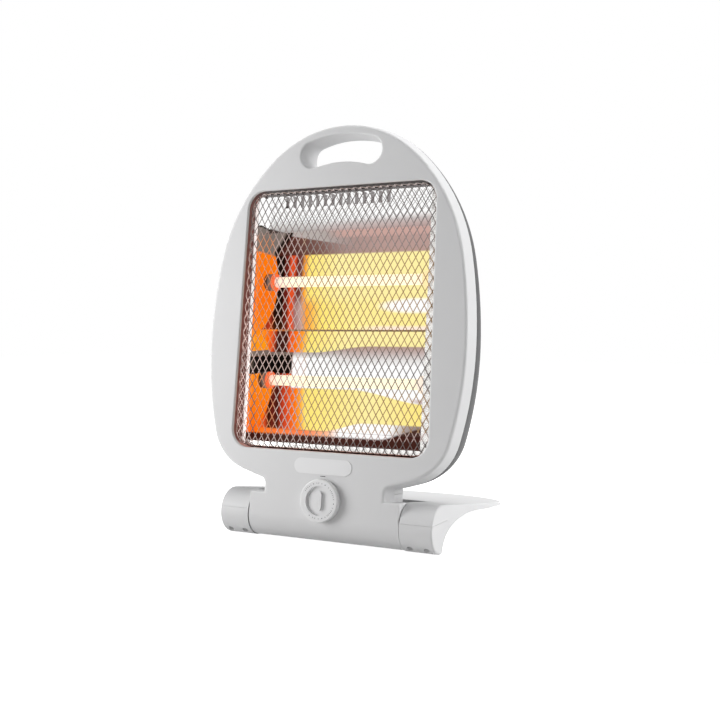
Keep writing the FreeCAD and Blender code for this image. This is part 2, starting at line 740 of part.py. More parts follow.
def make_knob():
    front = FACE_Y - DIAL_GAP - DIAL_T
    disc = rod(DIAL_R, V(0, front, DIAL_Z), Y_AXIS, DIAL_T)
    disc = disc.makeFillet(DIAL_EDGE, front_edges(disc, front, -FAR, FAR))
    disc = disc.cut(rod(DISH_R, V(0, front - CUT, DIAL_Z), Y_AXIS, DISH_DEPTH + CUT))
    straight = (GRIP_L - GRIP_W) / 2
    grip = box(-GRIP_W / 2, GRIP_W / 2, front, front + DISH_DEPTH, DIAL_Z - straight, DIAL_Z + straight)
    ends = [rod(GRIP_W / 2, V(0, front, DIAL_Z + s * straight), Y_AXIS, DISH_DEPTH) for s in (1, -1)]
    disc = fuse_all([disc, grip] + ends)
    bore_start = FACE_Y - DIAL_GAP - SPINDLE_IN_KNOB
    bore = rod(SPINDLE_R + SEAT_CLEARANCE, V(0, bore_start, DIAL_Z), Y_AXIS, SPINDLE_IN_KNOB)
    return disc.cut(bore)


def make_spindle():
    start = FACE_Y - DIAL_GAP - SPINDLE_IN_KNOB + SEAT_CLEARANCE
    return rod(SPINDLE_R, V(0, start, DIAL_Z), Y_AXIS, INNER_FACE_Y + SPINDLE_IN_SWITCH - start)


def make_rotary_switch():
    low = DIAL_Z - SWITCH_H / 2
    body = box(-SWITCH_W / 2, SWITCH_W / 2, INNER_FACE_Y, INNER_FACE_Y + SWITCH_D, low, low + SWITCH_H)
    depth = SPINDLE_IN_SWITCH + SEAT_CLEARANCE
    return body.cut(rod(SPINDLE_R + RUN_CLEARANCE, V(0, INNER_FACE_Y, DIAL_Z), Y_AXIS, depth))


def make_tilt_switch():
    half = TILT_SWITCH_H / 2
    back = math.sqrt((BARREL_R - WALL) ** 2 - half ** 2) - SEAT_CLEARANCE
    x = TILT_SWITCH_X
    return box(x - TILT_SWITCH_W / 2, x + TILT_SWITCH_W / 2, back - TILT_SWITCH_D, back, -half, half)


def make_terminal_block():
    left = BLOCK_X - BLOCK_W / 2
    return box(left, left + BLOCK_W, INNER_FACE_Y, INNER_FACE_Y + BLOCK_D, BLOCK_Z, BLOCK_Z + BLOCK_H)


def make_thermal_cutout():
    return rod(CUTOUT_R, V(0, SHIELD_Y + SHEET, CUTOUT_Z), Y_AXIS, CUTOUT_T)


def make_cord_inlet():
    sleeve = rod(INLET_R, V(INLET_X, INNER_BACK_Y, INLET_Z), Y_AXIS, WALL)
    flange = rod(INLET_FLANGE_R, V(INLET_X, BACK_Y, INLET_Z), Y_AXIS, INLET_FLANGE_T)
    bore = rod(INLET_BORE_R, V(INLET_X, INNER_BACK_Y, INLET_Z), Y_AXIS, WALL + INLET_FLANGE_T)
    return tilted(sleeve.fuse(flange).cut(bore).removeSplitter(), 1)


def make_cover_screws():
    screws = [screw(x, z, COVER_HEAD_Y, cover_bite()) for x, z in mirrored_spots(COVER_SCREWS)]
    screws += [screw(x, z, STEM_HEAD_Y, stem_bite()) for x, z in mirrored_spots(STEM_SCREWS)]
    return Part.makeCompound(screws)


def make_reflector_screws():
    return Part.makeCompound([screw(x, z, LIP_BACK + SHEET, TAB_SCREW_L) for x, z in tab_screw_spots()])


# Hinge pieces on the right; the left ones are mirror images

def make_hinge_pin():
    pin = rod(PIN_R, V(PIN_START, 0, 0), X_AXIS, PIN_END - PIN_START)
    collar_x = RIB_X + RIB_T + SEAT_CLEARANCE
    pin = pin.fuse(rod(PIN_COLLAR_R, V(collar_x, 0, 0), X_AXIS, PIN_COLLAR_T)).removeSplitter()
    return pin.cut(rod(PIN_BORE_R, V(PIN_START - CUT, 0, 0), X_AXIS, PIN_END - PIN_START + 2 * CUT))


def make_hinge_bush():
    return ring(BUSH_R, PIN_R + RUN_CLEARANCE, V(BUSH_START, 0, 0), X_AXIS, BUSH_L)


def make_friction_washer():
    inner = PIN_R + SEAT_CLEARANCE
    low = BUSH_END + RUN_CLEARANCE
    high = RING_X - SEAT_CLEARANCE
    section = [
        V(high - WASHER_T, inner, 0),
        V(high, inner, 0),
        V(low + WASHER_T, WASHER_R, 0),
        V(low, WASHER_R, 0),
    ]
    face = Part.Face(Part.makePolygon(section + section[:1]))
    return face.revolve(V(0, 0, 0), X_AXIS, 360)


def make_retaining_ring():
    return ring(RING_R, PIN_R + SEAT_CLEARANCE, V(RING_X, 0, 0), X_AXIS, RING_T)


# Foot, drawn in its own slope: v runs back along the plate and w up from the barrel's axis

def foot_length():
    turn = math.radians(FOOT_FLANK_DEG)
    flank_x = EAR_OUT - FOOT_FLANK_R
    rear_r = FOOT_FLANK_R + flank_x / math.cos(turn)
    rear_v = FOOT_SIDE_L + (FOOT_FLANK_R - rear_r) * math.sin(turn)
    return rear_r, rear_v, rear_v + rear_r


# The slope that sets the rear edge just above the ground while the ears stand on their flats.

def foot_slope():
    rear_r, rear_v, length = foot_length()
    a = EAR_R - FOOT_END_T
    target = REAR_LIFT - AXIS_Z
    return math.acos(target / math.hypot(a, length)) - math.atan2(length, a)


def sloped(shape):
    shape.rotate(V(0, 0, 0), X_AXIS, -math.degrees(foot_slope()))
    return shape


def foot_plan():
    rear_r, rear_v, length = foot_length()
    turn = math.radians(FOOT_FLANK_DEG)
    flank = (EAR_OUT - FOOT_FLANK_R, FOOT_SIDE_L)
    pieces = [
        [(EAR_OUT, -EAR_R), (EAR_OUT, FOOT_SIDE_L)],
        arc_piece(flank, FOOT_FLANK_R, 0.0, turn),
        arc_piece((0.0, rear_v), rear_r, turn, math.pi / 2),
    ]
    plan = prism(closed_outline(pieces, -FAR / 2), FAR)
    plan.rotate(V(0, 0, 0), X_AXIS, -90)
    return plan


# Side profile of ear and plate: a round front, a flat top that runs tangent to the rear, and an
# underside that sweeps up from the heel.

def foot_profile():
    rear_r, rear_v, length = foot_length()
    heel = V(-EAR_OUT, HEEL_V, -math.sqrt(EAR_R ** 2 - HEEL_V ** 2))
    front = V(-EAR_OUT, -EAR_R, 0)
    crown = V(-EAR_OUT, 0, EAR_R)
    sole = [heel] + [V(-EAR_OUT, v, EAR_R - t) for v, t in SOLE]
    sweep = Part.BSplineCurve()
    sweep.interpolate(sole)
    end_low = V(-EAR_OUT, length, EAR_R - FOOT_END_T)
    end_high = V(-EAR_OUT, length, EAR_R)
    edges = [
        Part.Arc(heel, front, crown).toShape(),
        Part.makeLine(crown, end_high),
        Part.makeLine(end_high, end_low),
        Part.makeLine(end_low, sole[-1]),
        sweep.toShape(),
    ]
    return Part.Face(Part.Wire(Part.__sortEdges__(edges))).extrude(V(2 * EAR_OUT, 0, 0))


# Underside pockets leave a top skin, side skirts and ribs between the bays.

def plate_pockets():
    half = EAR_OUT - FOOT_SKIN
    pitch = 2 * half / FOOT_BAYS
    top = EAR_R - FOOT_SKIN
    bays = []
    for i in range(FOOT_BAYS):
        x0 = -half + i * pitch + FOOT_RIB_T / 2
        bays.append(box(x0, x0 + pitch - FOOT_RIB_T, FOOT_POCKET_START, FOOT_SIDE_L, -EAR_R, top))
    return bays


def end_edges(shape):
    found = []
    for edge in shape.Edges:
        b = edge.BoundBox
        at_end = abs(abs(b.XMin) - EAR_OUT) < 1e-3 and b.XLength < 1e-3
        if at_end and b.YMax < EAR_R and b.YLength > EAR_R / 2:
            found.append(edge)
    return found


def foot_body():
    body = foot_profile().common(foot_plan())
    body = body.cut(Part.makeCompound(plate_pockets()))
    body = body.cut(box(-EAR_IN, EAR_IN, -FAR, NOTCH_V, -FAR, FAR))
    body = body.makeFillet(EAR_EDGE, end_edges(body))
    return sloped(body)


def ear_bores():
    reach = EAR_IN - CUT
    hole = rod(PIN_R + SPINDLE_HOLE_CLEARANCE, V(reach, 0, 0), X_AXIS, EAR_INNER_WALL + 2 * CUT)
    seat = rod(BUSH_R + SEAT_CLEARANCE, V(BUSH_START, 0, 0), X_AXIS, BUSH_L)
    pocket = rod(EAR_POCKET_R, V(BUSH_END, 0, 0), X_AXIS, EAR_POCKET_L)
    return both_sides(fuse_all([hole, seat, pocket]))


def ear_nicks():
    low = -AXIS_Z + EAR_NICK_DEPTH
    x = EAR_OUT - EAR_NICK_FROM_END
    return both_sides(box(x - EAR_NICK_W, x, -EAR_R, EAR_R, -FAR, low))


def ear_screw_spots():
    inner = EAR_IN + EAR_SCREW_FROM_ENDS
    outer = EAR_OUT - EAR_SCREW_FROM_ENDS
    return mirrored_spots([(inner, EAR_SCREW_Y), (outer, EAR_SCREW_Y)])


def ear_screw(x, y):
    shank = rod(SCREW_R, V(x, y, EAR_SCREW_HEAD_Z), Z_AXIS, EAR_SCREW_L)
    head = rod(SCREW_HEAD_R, V(x, y, EAR_SCREW_HEAD_Z), -Z_AXIS, SCREW_HEAD_T)
    return shank.fuse(head).removeSplitter()


def ear_screw_hole(x, y):
    shank = rod(SCREW_R + SCREW_FIT, V(x, y, EAR_SCREW_HEAD_Z), Z_AXIS, EAR_SCREW_L + SCREW_FIT)
    well = rod(SCREW_HEAD_R + SCREW_FIT, V(x, y, EAR_SCREW_HEAD_Z), -Z_AXIS, FAR)
    return shank.fuse(well)


def make_foot():
    ground = box(-FAR, FAR, -FAR, FAR, -FAR, -AXIS_Z)
    holes = [ear_screw_hole(x, y) for x, y in ear_screw_spots()]
    body = foot_body().cut(Part.makeCompound(ear_bores())).cut(ground)
    for cutter in holes + ear_nicks():
        body = body.cut(cutter)
    cover_zone = box(EAR_IN - CUT, FAR, -FAR, EAR_COVER_BACK, -FAR, EAR_SPLIT_Z)
    kept_zone = box(EAR_IN - CUT, FAR, -FAR, EAR_COVER_BACK + SEAM, -FAR, EAR_SPLIT_Z + SEAM)
    covers = [body.common(zone) for zone in both_sides(cover_zone)]
    plate = body
    for zone in both_sides(kept_zone):
        plate = plate.cut(zone)
    return plate, covers


def make_pads(plate):
    rear_r, rear_v, length = foot_length()
    y = (length - PAD_FROM_END) * math.cos(foot_slope())
    pads = []
    for x in (-PAD_X, PAD_X):
        pads.append(rod(PAD_R, V(x, y, -AXIS_Z), Z_AXIS, EAR_R).cut(plate))
    lower = [min(pad.Solids, key=lambda s: s.CenterOfMass.z) for pad in pads]
    return Part.makeCompound(lower)


# Assembly

def head_pieces():
    outer, front, rear, stem = head_shells()
    pieces = {
        "front_casing": make_front_casing(outer, front),
        "rear_cover": make_rear_cover(outer, rear),
        "stem_back_cover": make_stem_back_cover(outer, stem),
        "grille_mesh": make_grille_mesh(),
        "reflector_frame": make_reflector_frame(),
        "reflector_upper": trough(TUBE_UPPER_Z),
        "reflector_lower": trough(TUBE_LOWER_Z),
        "reflector_top_plate": make_top_plate(),
        "reflector_bottom_plate": make_bottom_plate(),
        "side_plate_right": make_side_plate(),
        "side_plate_left": mirrored(make_side_plate()),
        "heat_shield": make_heat_shield(),
        "rotary_switch": make_rotary_switch(),
        "tilt_switch": make_tilt_switch(),
        "terminal_block": make_terminal_block(),
        "thermal_cutout": make_thermal_cutout(),
        "cord_inlet": make_cord_inlet(),
        "cover_screws": make_cover_screws(),
        "reflector_screws": make_reflector_screws(),
        "knob": make_knob(),
        "switch_spindle": make_spindle(),
    }
    for name, z in (("upper", TUBE_UPPER_Z), ("lower", TUBE_LOWER_Z)):
        pieces["quartz_tube_" + name] = make_tube(z)
        pieces["heating_coil_" + name] = make_coil(z)
        pieces["tube_cap_" + name + "_right"] = make_tube_cap(z)
        pieces["tube_cap_" + name + "_left"] = mirrored(make_tube_cap(z))
    hinge = {
        "hinge_pin": make_hinge_pin(),
        "friction_washer": make_friction_washer(),
        "retaining_ring": make_retaining_ring(),
    }
    for name, shape in hinge.items():
        pieces[name + "_right"] = shape
        pieces[name + "_left"] = mirrored(shape)
    for shape in pieces.values():
        shape.rotate(V(0, 0, 0), X_AXIS, -LEAN_DEG)
    return pieces


def foot_pieces():
    plate, covers = make_foot()
    pieces = {
        "foot_plate": plate,
        "ear_cover_right": covers[0],
        "ear_cover_left": covers[1],
        "ear_screws": Part.makeCompound([ear_screw(x, y) for x, y in ear_screw_spots()]),
        "rubber_pads": make_pads(plate),
        "hinge_bush_right": make_hinge_bush(),
        "hinge_bush_left": mirrored(make_hinge_bush()),
    }
    return pieces


def main():
    os.makedirs("parts", exist_ok=True)
    pieces = head_pieces()
    pieces.update(foot_pieces())
    whole = Part.makeCompound(list(pieces.values())).optimalBoundingBox(False)
    shift = V(0, -(whole.YMin + whole.YMax) / 2, AXIS_Z)
    for name, shape in pieces.items():
        shape.translate(shift)
        shape.exportStep("parts/" + name + ".step")
        print(name, len(shape.Solids), shape.isValid(), round(shape.Volume, 1))
    print("axis", shift, "box", whole.XLength, whole.YLength, whole.ZLength)


main()
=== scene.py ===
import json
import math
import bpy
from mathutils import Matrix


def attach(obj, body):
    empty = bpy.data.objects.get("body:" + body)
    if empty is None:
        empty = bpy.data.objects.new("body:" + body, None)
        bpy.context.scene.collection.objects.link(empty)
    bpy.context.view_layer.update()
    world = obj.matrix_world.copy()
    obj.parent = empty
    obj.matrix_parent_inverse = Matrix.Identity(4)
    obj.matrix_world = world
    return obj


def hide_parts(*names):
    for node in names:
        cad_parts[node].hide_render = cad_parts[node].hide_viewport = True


bl_info = {
    "name": "Quartz heater looks",
    "version": (1, 0, 0),
    "blender": (4, 5, 0),
    "location": "3D View > Sidebar > Heater",
    "description": "Finishes, wire grille, dial marks and studio stage for a portable quartz heater",
    "category": "Object",
}

import bpy
from mathutils import Matrix, Vector

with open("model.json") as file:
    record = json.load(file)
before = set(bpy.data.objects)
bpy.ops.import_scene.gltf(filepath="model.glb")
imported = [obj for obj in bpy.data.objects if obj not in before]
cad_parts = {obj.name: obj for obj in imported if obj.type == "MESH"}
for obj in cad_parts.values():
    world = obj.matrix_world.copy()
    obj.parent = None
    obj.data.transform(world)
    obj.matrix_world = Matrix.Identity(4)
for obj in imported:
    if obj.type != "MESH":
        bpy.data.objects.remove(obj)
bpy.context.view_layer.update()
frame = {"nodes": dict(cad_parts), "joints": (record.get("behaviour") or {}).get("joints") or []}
MM = 0.001


def joint_named(name):
    return next(j for j in frame["joints"] if j["name"] == name)


# The head is drawn upright, with y to the back and z up from the hinge axis, and leans back on it.
# Places and sizes named in this file are millimetres in that frame, unless they say otherwise.
HINGE = Vector(joint_named("head_tilt")["pos_m"])
DIAL_AXIS = Vector(joint_named("knob_turn")["axis"])
LEAN = math.atan2(-DIAL_AXIS.z, DIAL_AXIS.y)
HEAD = Matrix.Translation(HINGE) @ Matrix.Rotation(-LEAN, 4, "X")
FACE_Y = -20.6
LIP_BACK_Y = -9.6

# Grille opening of the casing
OPEN_BOTTOM_Z = 59.8
OPEN_TOP_Z = 300.8
OPEN_BOTTOM_HALF = 100.0
OPEN_TOP_HALF = 96.4
OPEN_CORNER_R = 17.0
OPEN_DRAFT = (OPEN_BOTTOM_HALF - OPEN_TOP_HALF) / (OPEN_TOP_Z - OPEN_BOTTOM_Z)

SHELL_NODES = ("front_casing", "stem_back_cover", "foot_plate", "ear_cover_right", "ear_cover_left")
# Sheets of the chamber whose glow is painted light: the material and the glow group of each
GLOW_PAINTED_SHEETS = {
    "reflector_upper": ("Upper reflector", "Upper reflector glow"),
    "reflector_lower": ("Lower reflector", "Lower reflector glow"),
    "reflector_top_plate": ("Top plate sheet", "Top plate glow"),
    "reflector_bottom_plate": ("Bottom plate sheet", "Bottom plate glow"),
}
STEEL_NODES = (
    "cover_screws", "reflector_screws", "ear_screws", "switch_spindle",
    "hinge_pin_right", "hinge_pin_left", "friction_washer_right", "friction_washer_left",
    "retaining_ring_right", "retaining_ring_left",
)
DARK_NODES = ("rotary_switch", "tilt_switch", "terminal_block", "cord_inlet")
CAP_NODES = tuple(
    "tube_cap_%s_%s" % (row, side) for row in ("upper", "lower") for side in ("right", "left"))


# Settings that a user would change

class HeaterFinish(bpy.types.PropertyGroup):
    casing_color: bpy.props.FloatVectorProperty(
        name="Casing colour", description="Light grey of the casing and the foot",
        subtype="COLOR", size=3, min=0.0, max=1.0, default=(0.68, 0.68, 0.685))
    casing_roughness: bpy.props.FloatProperty(
        name="Casing roughness", description="Gloss of the moulded casing",
        subtype="FACTOR", min=0.0, max=1.0, default=0.42)
    rear_color: bpy.props.FloatVectorProperty(
        name="Rear colour", description="Dark grey of the rear cover",
        subtype="COLOR", size=3, min=0.0, max=1.0, default=(0.085, 0.085, 0.087))
    mirror_color: bpy.props.FloatVectorProperty(
        name="Reflector colour", description="Polished sheet of the frame and the plates",
        subtype="COLOR", size=3, min=0.0, max=1.0, default=(0.93, 0.92, 0.9))
    glow_strength: bpy.props.FloatProperty(
        name="Glow strength", description="Strength of the glow on the reflectors and the hot sheets",
        min=0.0, default=1.0)
    tube_color: bpy.props.FloatVectorProperty(
        name="Tube glow", description="Colour of the glowing tubes",
        subtype="COLOR", size=3, min=0.0, max=1.0, default=(1.0, 0.88, 0.62))
    tube_strength: bpy.props.FloatProperty(
        name="Tube strength", description="Strength of the tubes' glow", min=0.0, default=1.05)
    mark_color: bpy.props.FloatVectorProperty(
        name="Mark colour", description="Printed marks on the dial and the casing",
        subtype="COLOR", size=3, min=0.0, max=1.0, default=(0.035, 0.035, 0.038))


class HeaterGrille(bpy.types.PropertyGroup):
    cell_w: bpy.props.FloatProperty(
        name="Cell width", description="Width of one diamond", subtype="DISTANCE", default=6.87 * MM)
    cell_h: bpy.props.FloatProperty(
        name="Cell height", description="Height of one diamond", subtype="DISTANCE", default=12.0 * MM)
    wire_r: bpy.props.FloatProperty(
        name="Wire radius", description="Radius of the wire", subtype="DISTANCE", default=0.4 * MM)
    setback: bpy.props.FloatProperty(
        name="Setback", description="Depth of the net behind the casing's face",
        subtype="DISTANCE", default=2.6 * MM)
    edge_gap: bpy.props.FloatProperty(
        name="Edge gap", description="Gap from the folded edge to the casing",
        subtype="DISTANCE", default=1.6 * MM)
    bend_r: bpy.props.FloatProperty(
        name="Bend radius", description="Radius of the folded edge", subtype="DISTANCE", default=2.5 * MM)


class HeaterDial(bpy.types.PropertyGroup):
    mark_r: bpy.props.FloatProperty(
        name="Mark circle", description="Radius of the circle of marks",
        subtype="DISTANCE", default=15.6 * MM)
    dot_r: bpy.props.FloatProperty(
        name="Dot radius", description="Radius of a printed dot", subtype="DISTANCE", default=0.45 * MM)
    print_t: bpy.props.FloatProperty(
        name="Print thickness", description="Thickness of the printed marks",
        subtype="DISTANCE", default=0.06 * MM)


class HeaterStage(bpy.types.PropertyGroup):
    camera_from_hinge: bpy.props.FloatVectorProperty(
        name="Camera", description="Camera's place from the hinge's middle",
        subtype="TRANSLATION", size=3, default=(0.44013, -0.78378, 0.17672))
    camera_yaw: bpy.props.FloatProperty(
        name="Yaw", description="Camera's turn about the vertical", subtype="ANGLE",
        default=math.radians(27.688))
    camera_pitch: bpy.props.FloatProperty(
        name="Pitch", description="Camera's tilt below the horizon", subtype="ANGLE",
        default=math.radians(2.1175))
    lens: bpy.props.FloatProperty(
        name="Lens", description="Focal length on a 36 mm sensor", subtype="DISTANCE_CAMERA", default=50.0)
    world_strength: bpy.props.FloatProperty(
        name="World strength", description="Soft light from all round", min=0.0, default=0.11)
    key_power: bpy.props.FloatProperty(
        name="Key power", description="Large soft light at the left", subtype="POWER", default=9.2)
    top_power: bpy.props.FloatProperty(
        name="Top power", description="Soft light from above", subtype="POWER", default=17.0)
    side_power: bpy.props.FloatProperty(
        name="Side power", description="Soft light at the right", subtype="POWER", default=15.0)


# Node helpers

def add(tree, kind, values=None, **attributes):
    node = tree.nodes.new(kind)
    for name, value in attributes.items():
        setattr(node, name, value)
    for name, value in (values or {}).items():
        node.inputs[name].default_value = value
    return node


def wire_up(tree, *pairs):
    for source, target in pairs:
        tree.links.new(source, target)


def math_node(tree, operation, a, b=None):
    node = add(tree, "ShaderNodeMath", operation=operation)
    for socket, value in zip(node.inputs, (a, b)):
        if value is None:
            continue
        if isinstance(value, (int, float)):
            socket.default_value = value
        else:
            tree.links.new(value, socket)
    return node.outputs[0]


def node_group(name, inputs, outputs):
    tree = bpy.data.node_groups.new(name, "ShaderNodeTree")
    for label, kind, default in inputs:
        socket = tree.interface.new_socket(label, in_out="INPUT", socket_type=kind)
        socket.default_value = default
    for label, kind in outputs:
        tree.interface.new_socket(label, in_out="OUTPUT", socket_type=kind)
    return tree, add(tree, "NodeGroupInput"), add(tree, "NodeGroupOutput")


def use_group(tree, name, values=None):
    return add(tree, "ShaderNodeGroup", values, node_tree=bpy.data.node_groups[name])


FLOAT = "NodeSocketFloat"
COLOR = "NodeSocketColor"


# Moulded plastic: fine grain, faint flow marks in the colour and an uneven gloss.

GLOSS_SWING = 0.16


def make_moulded_group():
    tree, ins, outs = node_group(
        "Moulded grain",
        [("Color", COLOR, (0.7, 0.7, 0.7, 1.0)), ("Gloss", FLOAT, 0.4), ("Grain", FLOAT, 900.0),
         ("Variation", FLOAT, 0.03)],
        [("Color", COLOR), ("Roughness", FLOAT), ("Height", FLOAT)])
    place = add(tree, "ShaderNodeTexCoord")
    broad = add(tree, "ShaderNodeTexNoise", {"Scale": 7.0, "Detail": 3.0})
    fine = add(tree, "ShaderNodeTexNoise", {"Detail": 2.0, "Roughness": 0.6})
    speck = add(tree, "ShaderNodeTexNoise", {"Scale": 60.0, "Detail": 4.0})
    wire_up(tree, (place.outputs["Object"], broad.inputs["Vector"]),
            (place.outputs["Object"], fine.inputs["Vector"]),
            (place.outputs["Object"], speck.inputs["Vector"]),
            (ins.outputs["Grain"], fine.inputs["Scale"]))
    swing = math_node(tree, "SUBTRACT", broad.outputs["Fac"], 0.5)
    swing = math_node(tree, "MULTIPLY", swing, ins.outputs["Variation"])
    level = math_node(tree, "ADD", swing, 1.0)
    tint = add(tree, "ShaderNodeVectorMath", operation="SCALE")
    wire_up(tree, (ins.outputs["Color"], tint.inputs[0]), (level, tint.inputs["Scale"]),
            (tint.outputs[0], outs.inputs["Color"]))
    uneven = math_node(tree, "SUBTRACT", speck.outputs["Fac"], 0.5)
    uneven = math_node(tree, "MULTIPLY", uneven, GLOSS_SWING)
    wire_up(tree, (math_node(tree, "ADD", uneven, ins.outputs["Gloss"]), outs.inputs["Roughness"]),
            (fine.outputs["Fac"], outs.inputs["Height"]))


# Rolled sheet: long faint streaks along x in colour, gloss and height.

def make_rolled_group():
    tree, ins, outs = node_group(
        "Rolled sheet",
        [("Color", COLOR, (0.9, 0.9, 0.9, 1.0)), ("Gloss", FLOAT, 0.2), ("Streak", FLOAT, 0.1)],
        [("Color", COLOR), ("Roughness", FLOAT), ("Height", FLOAT)])
    place = add(tree, "ShaderNodeTexCoord")
    stretch = add(tree, "ShaderNodeMapping", {"Scale": (6.0, 420.0, 420.0)})
    streak = add(tree, "ShaderNodeTexNoise", {"Scale": 1.0, "Detail": 4.0})
    wire_up(tree, (place.outputs["Object"], stretch.inputs["Vector"]),
            (stretch.outputs[0], streak.inputs["Vector"]))
    swing = math_node(tree, "SUBTRACT", streak.outputs["Fac"], 0.5)
    swing = math_node(tree, "MULTIPLY", swing, ins.outputs["Streak"])
    tint = add(tree, "ShaderNodeVectorMath", operation="SCALE")
    wire_up(tree, (ins.outputs["Color"], tint.inputs[0]),
            (math_node(tree, "ADD", swing, 1.0), tint.inputs["Scale"]),
            (tint.outputs[0], outs.inputs["Color"]),
            (math_node(tree, "ADD", swing, ins.outputs["Gloss"]), outs.inputs["Roughness"]),
            (streak.outputs["Fac"], outs.inputs["Height"]))


# Place in the head's own upright frame, in millimetres: the solids lean in their own coordinates,
# a piece drawn upright doesn't.

def make_place_group(name, origin, lean):
    tree, _, outs = node_group(name, [], [("X", FLOAT), ("Y", FLOAT), ("Z", FLOAT)])
    place = add(tree, "ShaderNodeTexCoord")
    upright = add(tree, "ShaderNodeMapping",
                  {"Location": origin, "Rotation": (-lean, 0.0, 0.0), "Scale": (MM, MM, MM)},
                  vector_type="TEXTURE")
    split = add(tree, "ShaderNodeSeparateXYZ")
    wire_up(tree, (place.outputs["Object"], upright.inputs["Vector"]),
            (upright.outputs[0], split.inputs[0]))
    for axis in "XYZ":
        wire_up(tree, (split.outputs[axis], outs.inputs[axis]))


# Painting by place: soft masks are laid over each other as layers of colour. A named edge is its place and
# its softness to each side, and a named band is its low and high edge and their softness.

def product(tree, mask, *others):
    """Masks multiplied by each other."""
    for other in others:
        mask = math_node(tree, "MULTIPLY", mask, other)
    return mask


def soft_step(tree, value, edge, soft):
    """0 below the edge and 1 above it."""
    node = add(tree, "ShaderNodeMapRange", {"From Min": edge - soft, "From Max": edge + soft},
               interpolation_type="SMOOTHSTEP")
    wire_up(tree, (value, node.inputs["Value"]))
    return node.outputs[0]


def soft_below(tree, value, edge, soft):
    return math_node(tree, "SUBTRACT", 1.0, soft_step(tree, value, edge, soft))


def soft_band(tree, value, low, high, soft):
    return product(tree, soft_step(tree, value, low, soft), soft_below(tree, value, high, soft))


def soft_spot(tree, x, z, centre, reach, soft):
    """1 inside an ellipse and 0 outside it."""
    squares = []
    for value, middle, half in zip((x, z), centre, reach):
        off = math_node(tree, "DIVIDE", math_node(tree, "SUBTRACT", value, middle), half)
        squares.append(math_node(tree, "MULTIPLY", off, off))
    return soft_below(tree, math_node(tree, "ADD", *squares), 1.0, soft)


def sloped(tree, value, along, slope):
    return math_node(tree, "SUBTRACT", value, math_node(tree, "MULTIPLY", along, slope))


def layer(tree, under, mask, over):
    node = add(tree, "ShaderNodeMix", data_type="RGBA")
    factor, below, above = node.inputs[0], node.inputs[6], node.inputs[7]
    wire_up(tree, (mask, factor))
    for socket, color in ((below, under), (above, over)):
        if isinstance(color, tuple):
            socket.default_value = (*color, 1.0)
        else:
            wire_up(tree, (color, socket))
    return node.outputs[2]


def place_ramp(tree, value, stops):
    """Colour stops along one coordinate, each at its place."""
    low = stops[0][0]
    high = stops[-1][0]
    spread = add(tree, "ShaderNodeMapRange", {"From Min": low, "From Max": high})
    blend = add(tree, "ShaderNodeValToRGB")
    elements = blend.color_ramp.elements
    while len(elements) < len(stops):
        elements.new(0.5)
    for element, (place, color) in zip(elements, stops):
        element.position = (place - low) / (high - low)
        element.color = (*color, 1.0)
    wire_up(tree, (value, spread.inputs["Value"]), (spread.outputs[0], blend.inputs[0]))
    return blend.outputs[0]


# Backs of the sheets: unlit, but for a narrow seam between the two reflectors that shows them faintly lit.

BACK_NORMAL_Y = (0.2, 0.08)
SEAM_BAND = (163.0, 181.0, 2.0)
SEAM_GLOW = (0.4, 0.24, 0.11)


def front_faces(tree):
    """1 on faces that look to the front, 0 on those that look to the back."""
    split = add(tree, "ShaderNodeSeparateXYZ")
    wire_up(tree, (add(tree, "ShaderNodeTexCoord").outputs["Normal"], split.inputs[0]))
    return soft_below(tree, split.outputs["Y"], *BACK_NORMAL_Y)


def dark_backs(tree, color, z):
    backs = layer(tree, BLACK, soft_band(tree, z, *SEAM_BAND), SEAM_GLOW)
    return layer(tree, backs, front_faces(tree), color)


def place_group(name, paint, place="Place in head", front_only=False):
    """Node group that gives the colour that paint lays down at each place of the head."""
    tree, _, outs = node_group(name, [], [("Color", COLOR)])
    spot = use_group(tree, place)
    color = paint(tree, *(spot.outputs[axis] for axis in "XYZ"))
    if front_only:
        color = dark_backs(tree, color, spot.outputs["Z"])
    wire_up(tree, (color, outs.inputs["Color"]))


# Colours of the light and shade painted in the hot chamber: glow, reflections and shadow
YELLOW = (1.0, 0.8, 0.19)
PALE_YELLOW = (1.0, 0.88, 0.39)
SOFT_YELLOW = (1.0, 0.86, 0.32)
PEACH = (1.0, 0.82, 0.7)
AMBER = (1.0, 0.36, 0.03)
HOT_ORANGE = (1.0, 0.17, 0.003)
RED = (0.75, 0.08, 0.02)
EMBER = (0.4, 0.03, 0.012)
DARK_EMBER = (0.13, 0.012, 0.008)
BROWN = (0.045, 0.009, 0.006)
ROSE = (0.5, 0.33, 0.31)
WARM_GREY = (0.38, 0.31, 0.29)
DARK_GREY = (0.17, 0.13, 0.11)
SHEET_GREY = (0.2, 0.165, 0.145)
WHITE = (1.0, 1.0, 1.0)
BLACK = (0.003, 0.002, 0.002)
ROOF_SHADE = (0.03, 0.022, 0.022)
UNLIT = (0.0, 0.0, 0.0)

# The bands in which a reflector mirrors the side sheet slant from its back to its edges.
TROUGH_BACK_Y = 25.0
BAND_SLANT = 0.7


def along_bands(tree, x, y):
    return sloped(tree, x, math_node(tree, "SUBTRACT", y, TROUGH_BACK_Y), -BAND_SLANT)


# Foot of the chamber: a strip of painted glow, and below it the sheet in dim brown painted shade, which both
# climb to the right.

FOOT_GLOW_TOP = (78.5, 0.8)
FOOT_GLOW_RISE = 8.5
FOOT_GLOW_RISE_X = (4.0, 18.0)
FOOT_DARK_TOP = (73.6, 1.2)
FOOT_DARK_RISE = 13.0
FOOT_DARK_RISE_X = (66.0, 24.0)


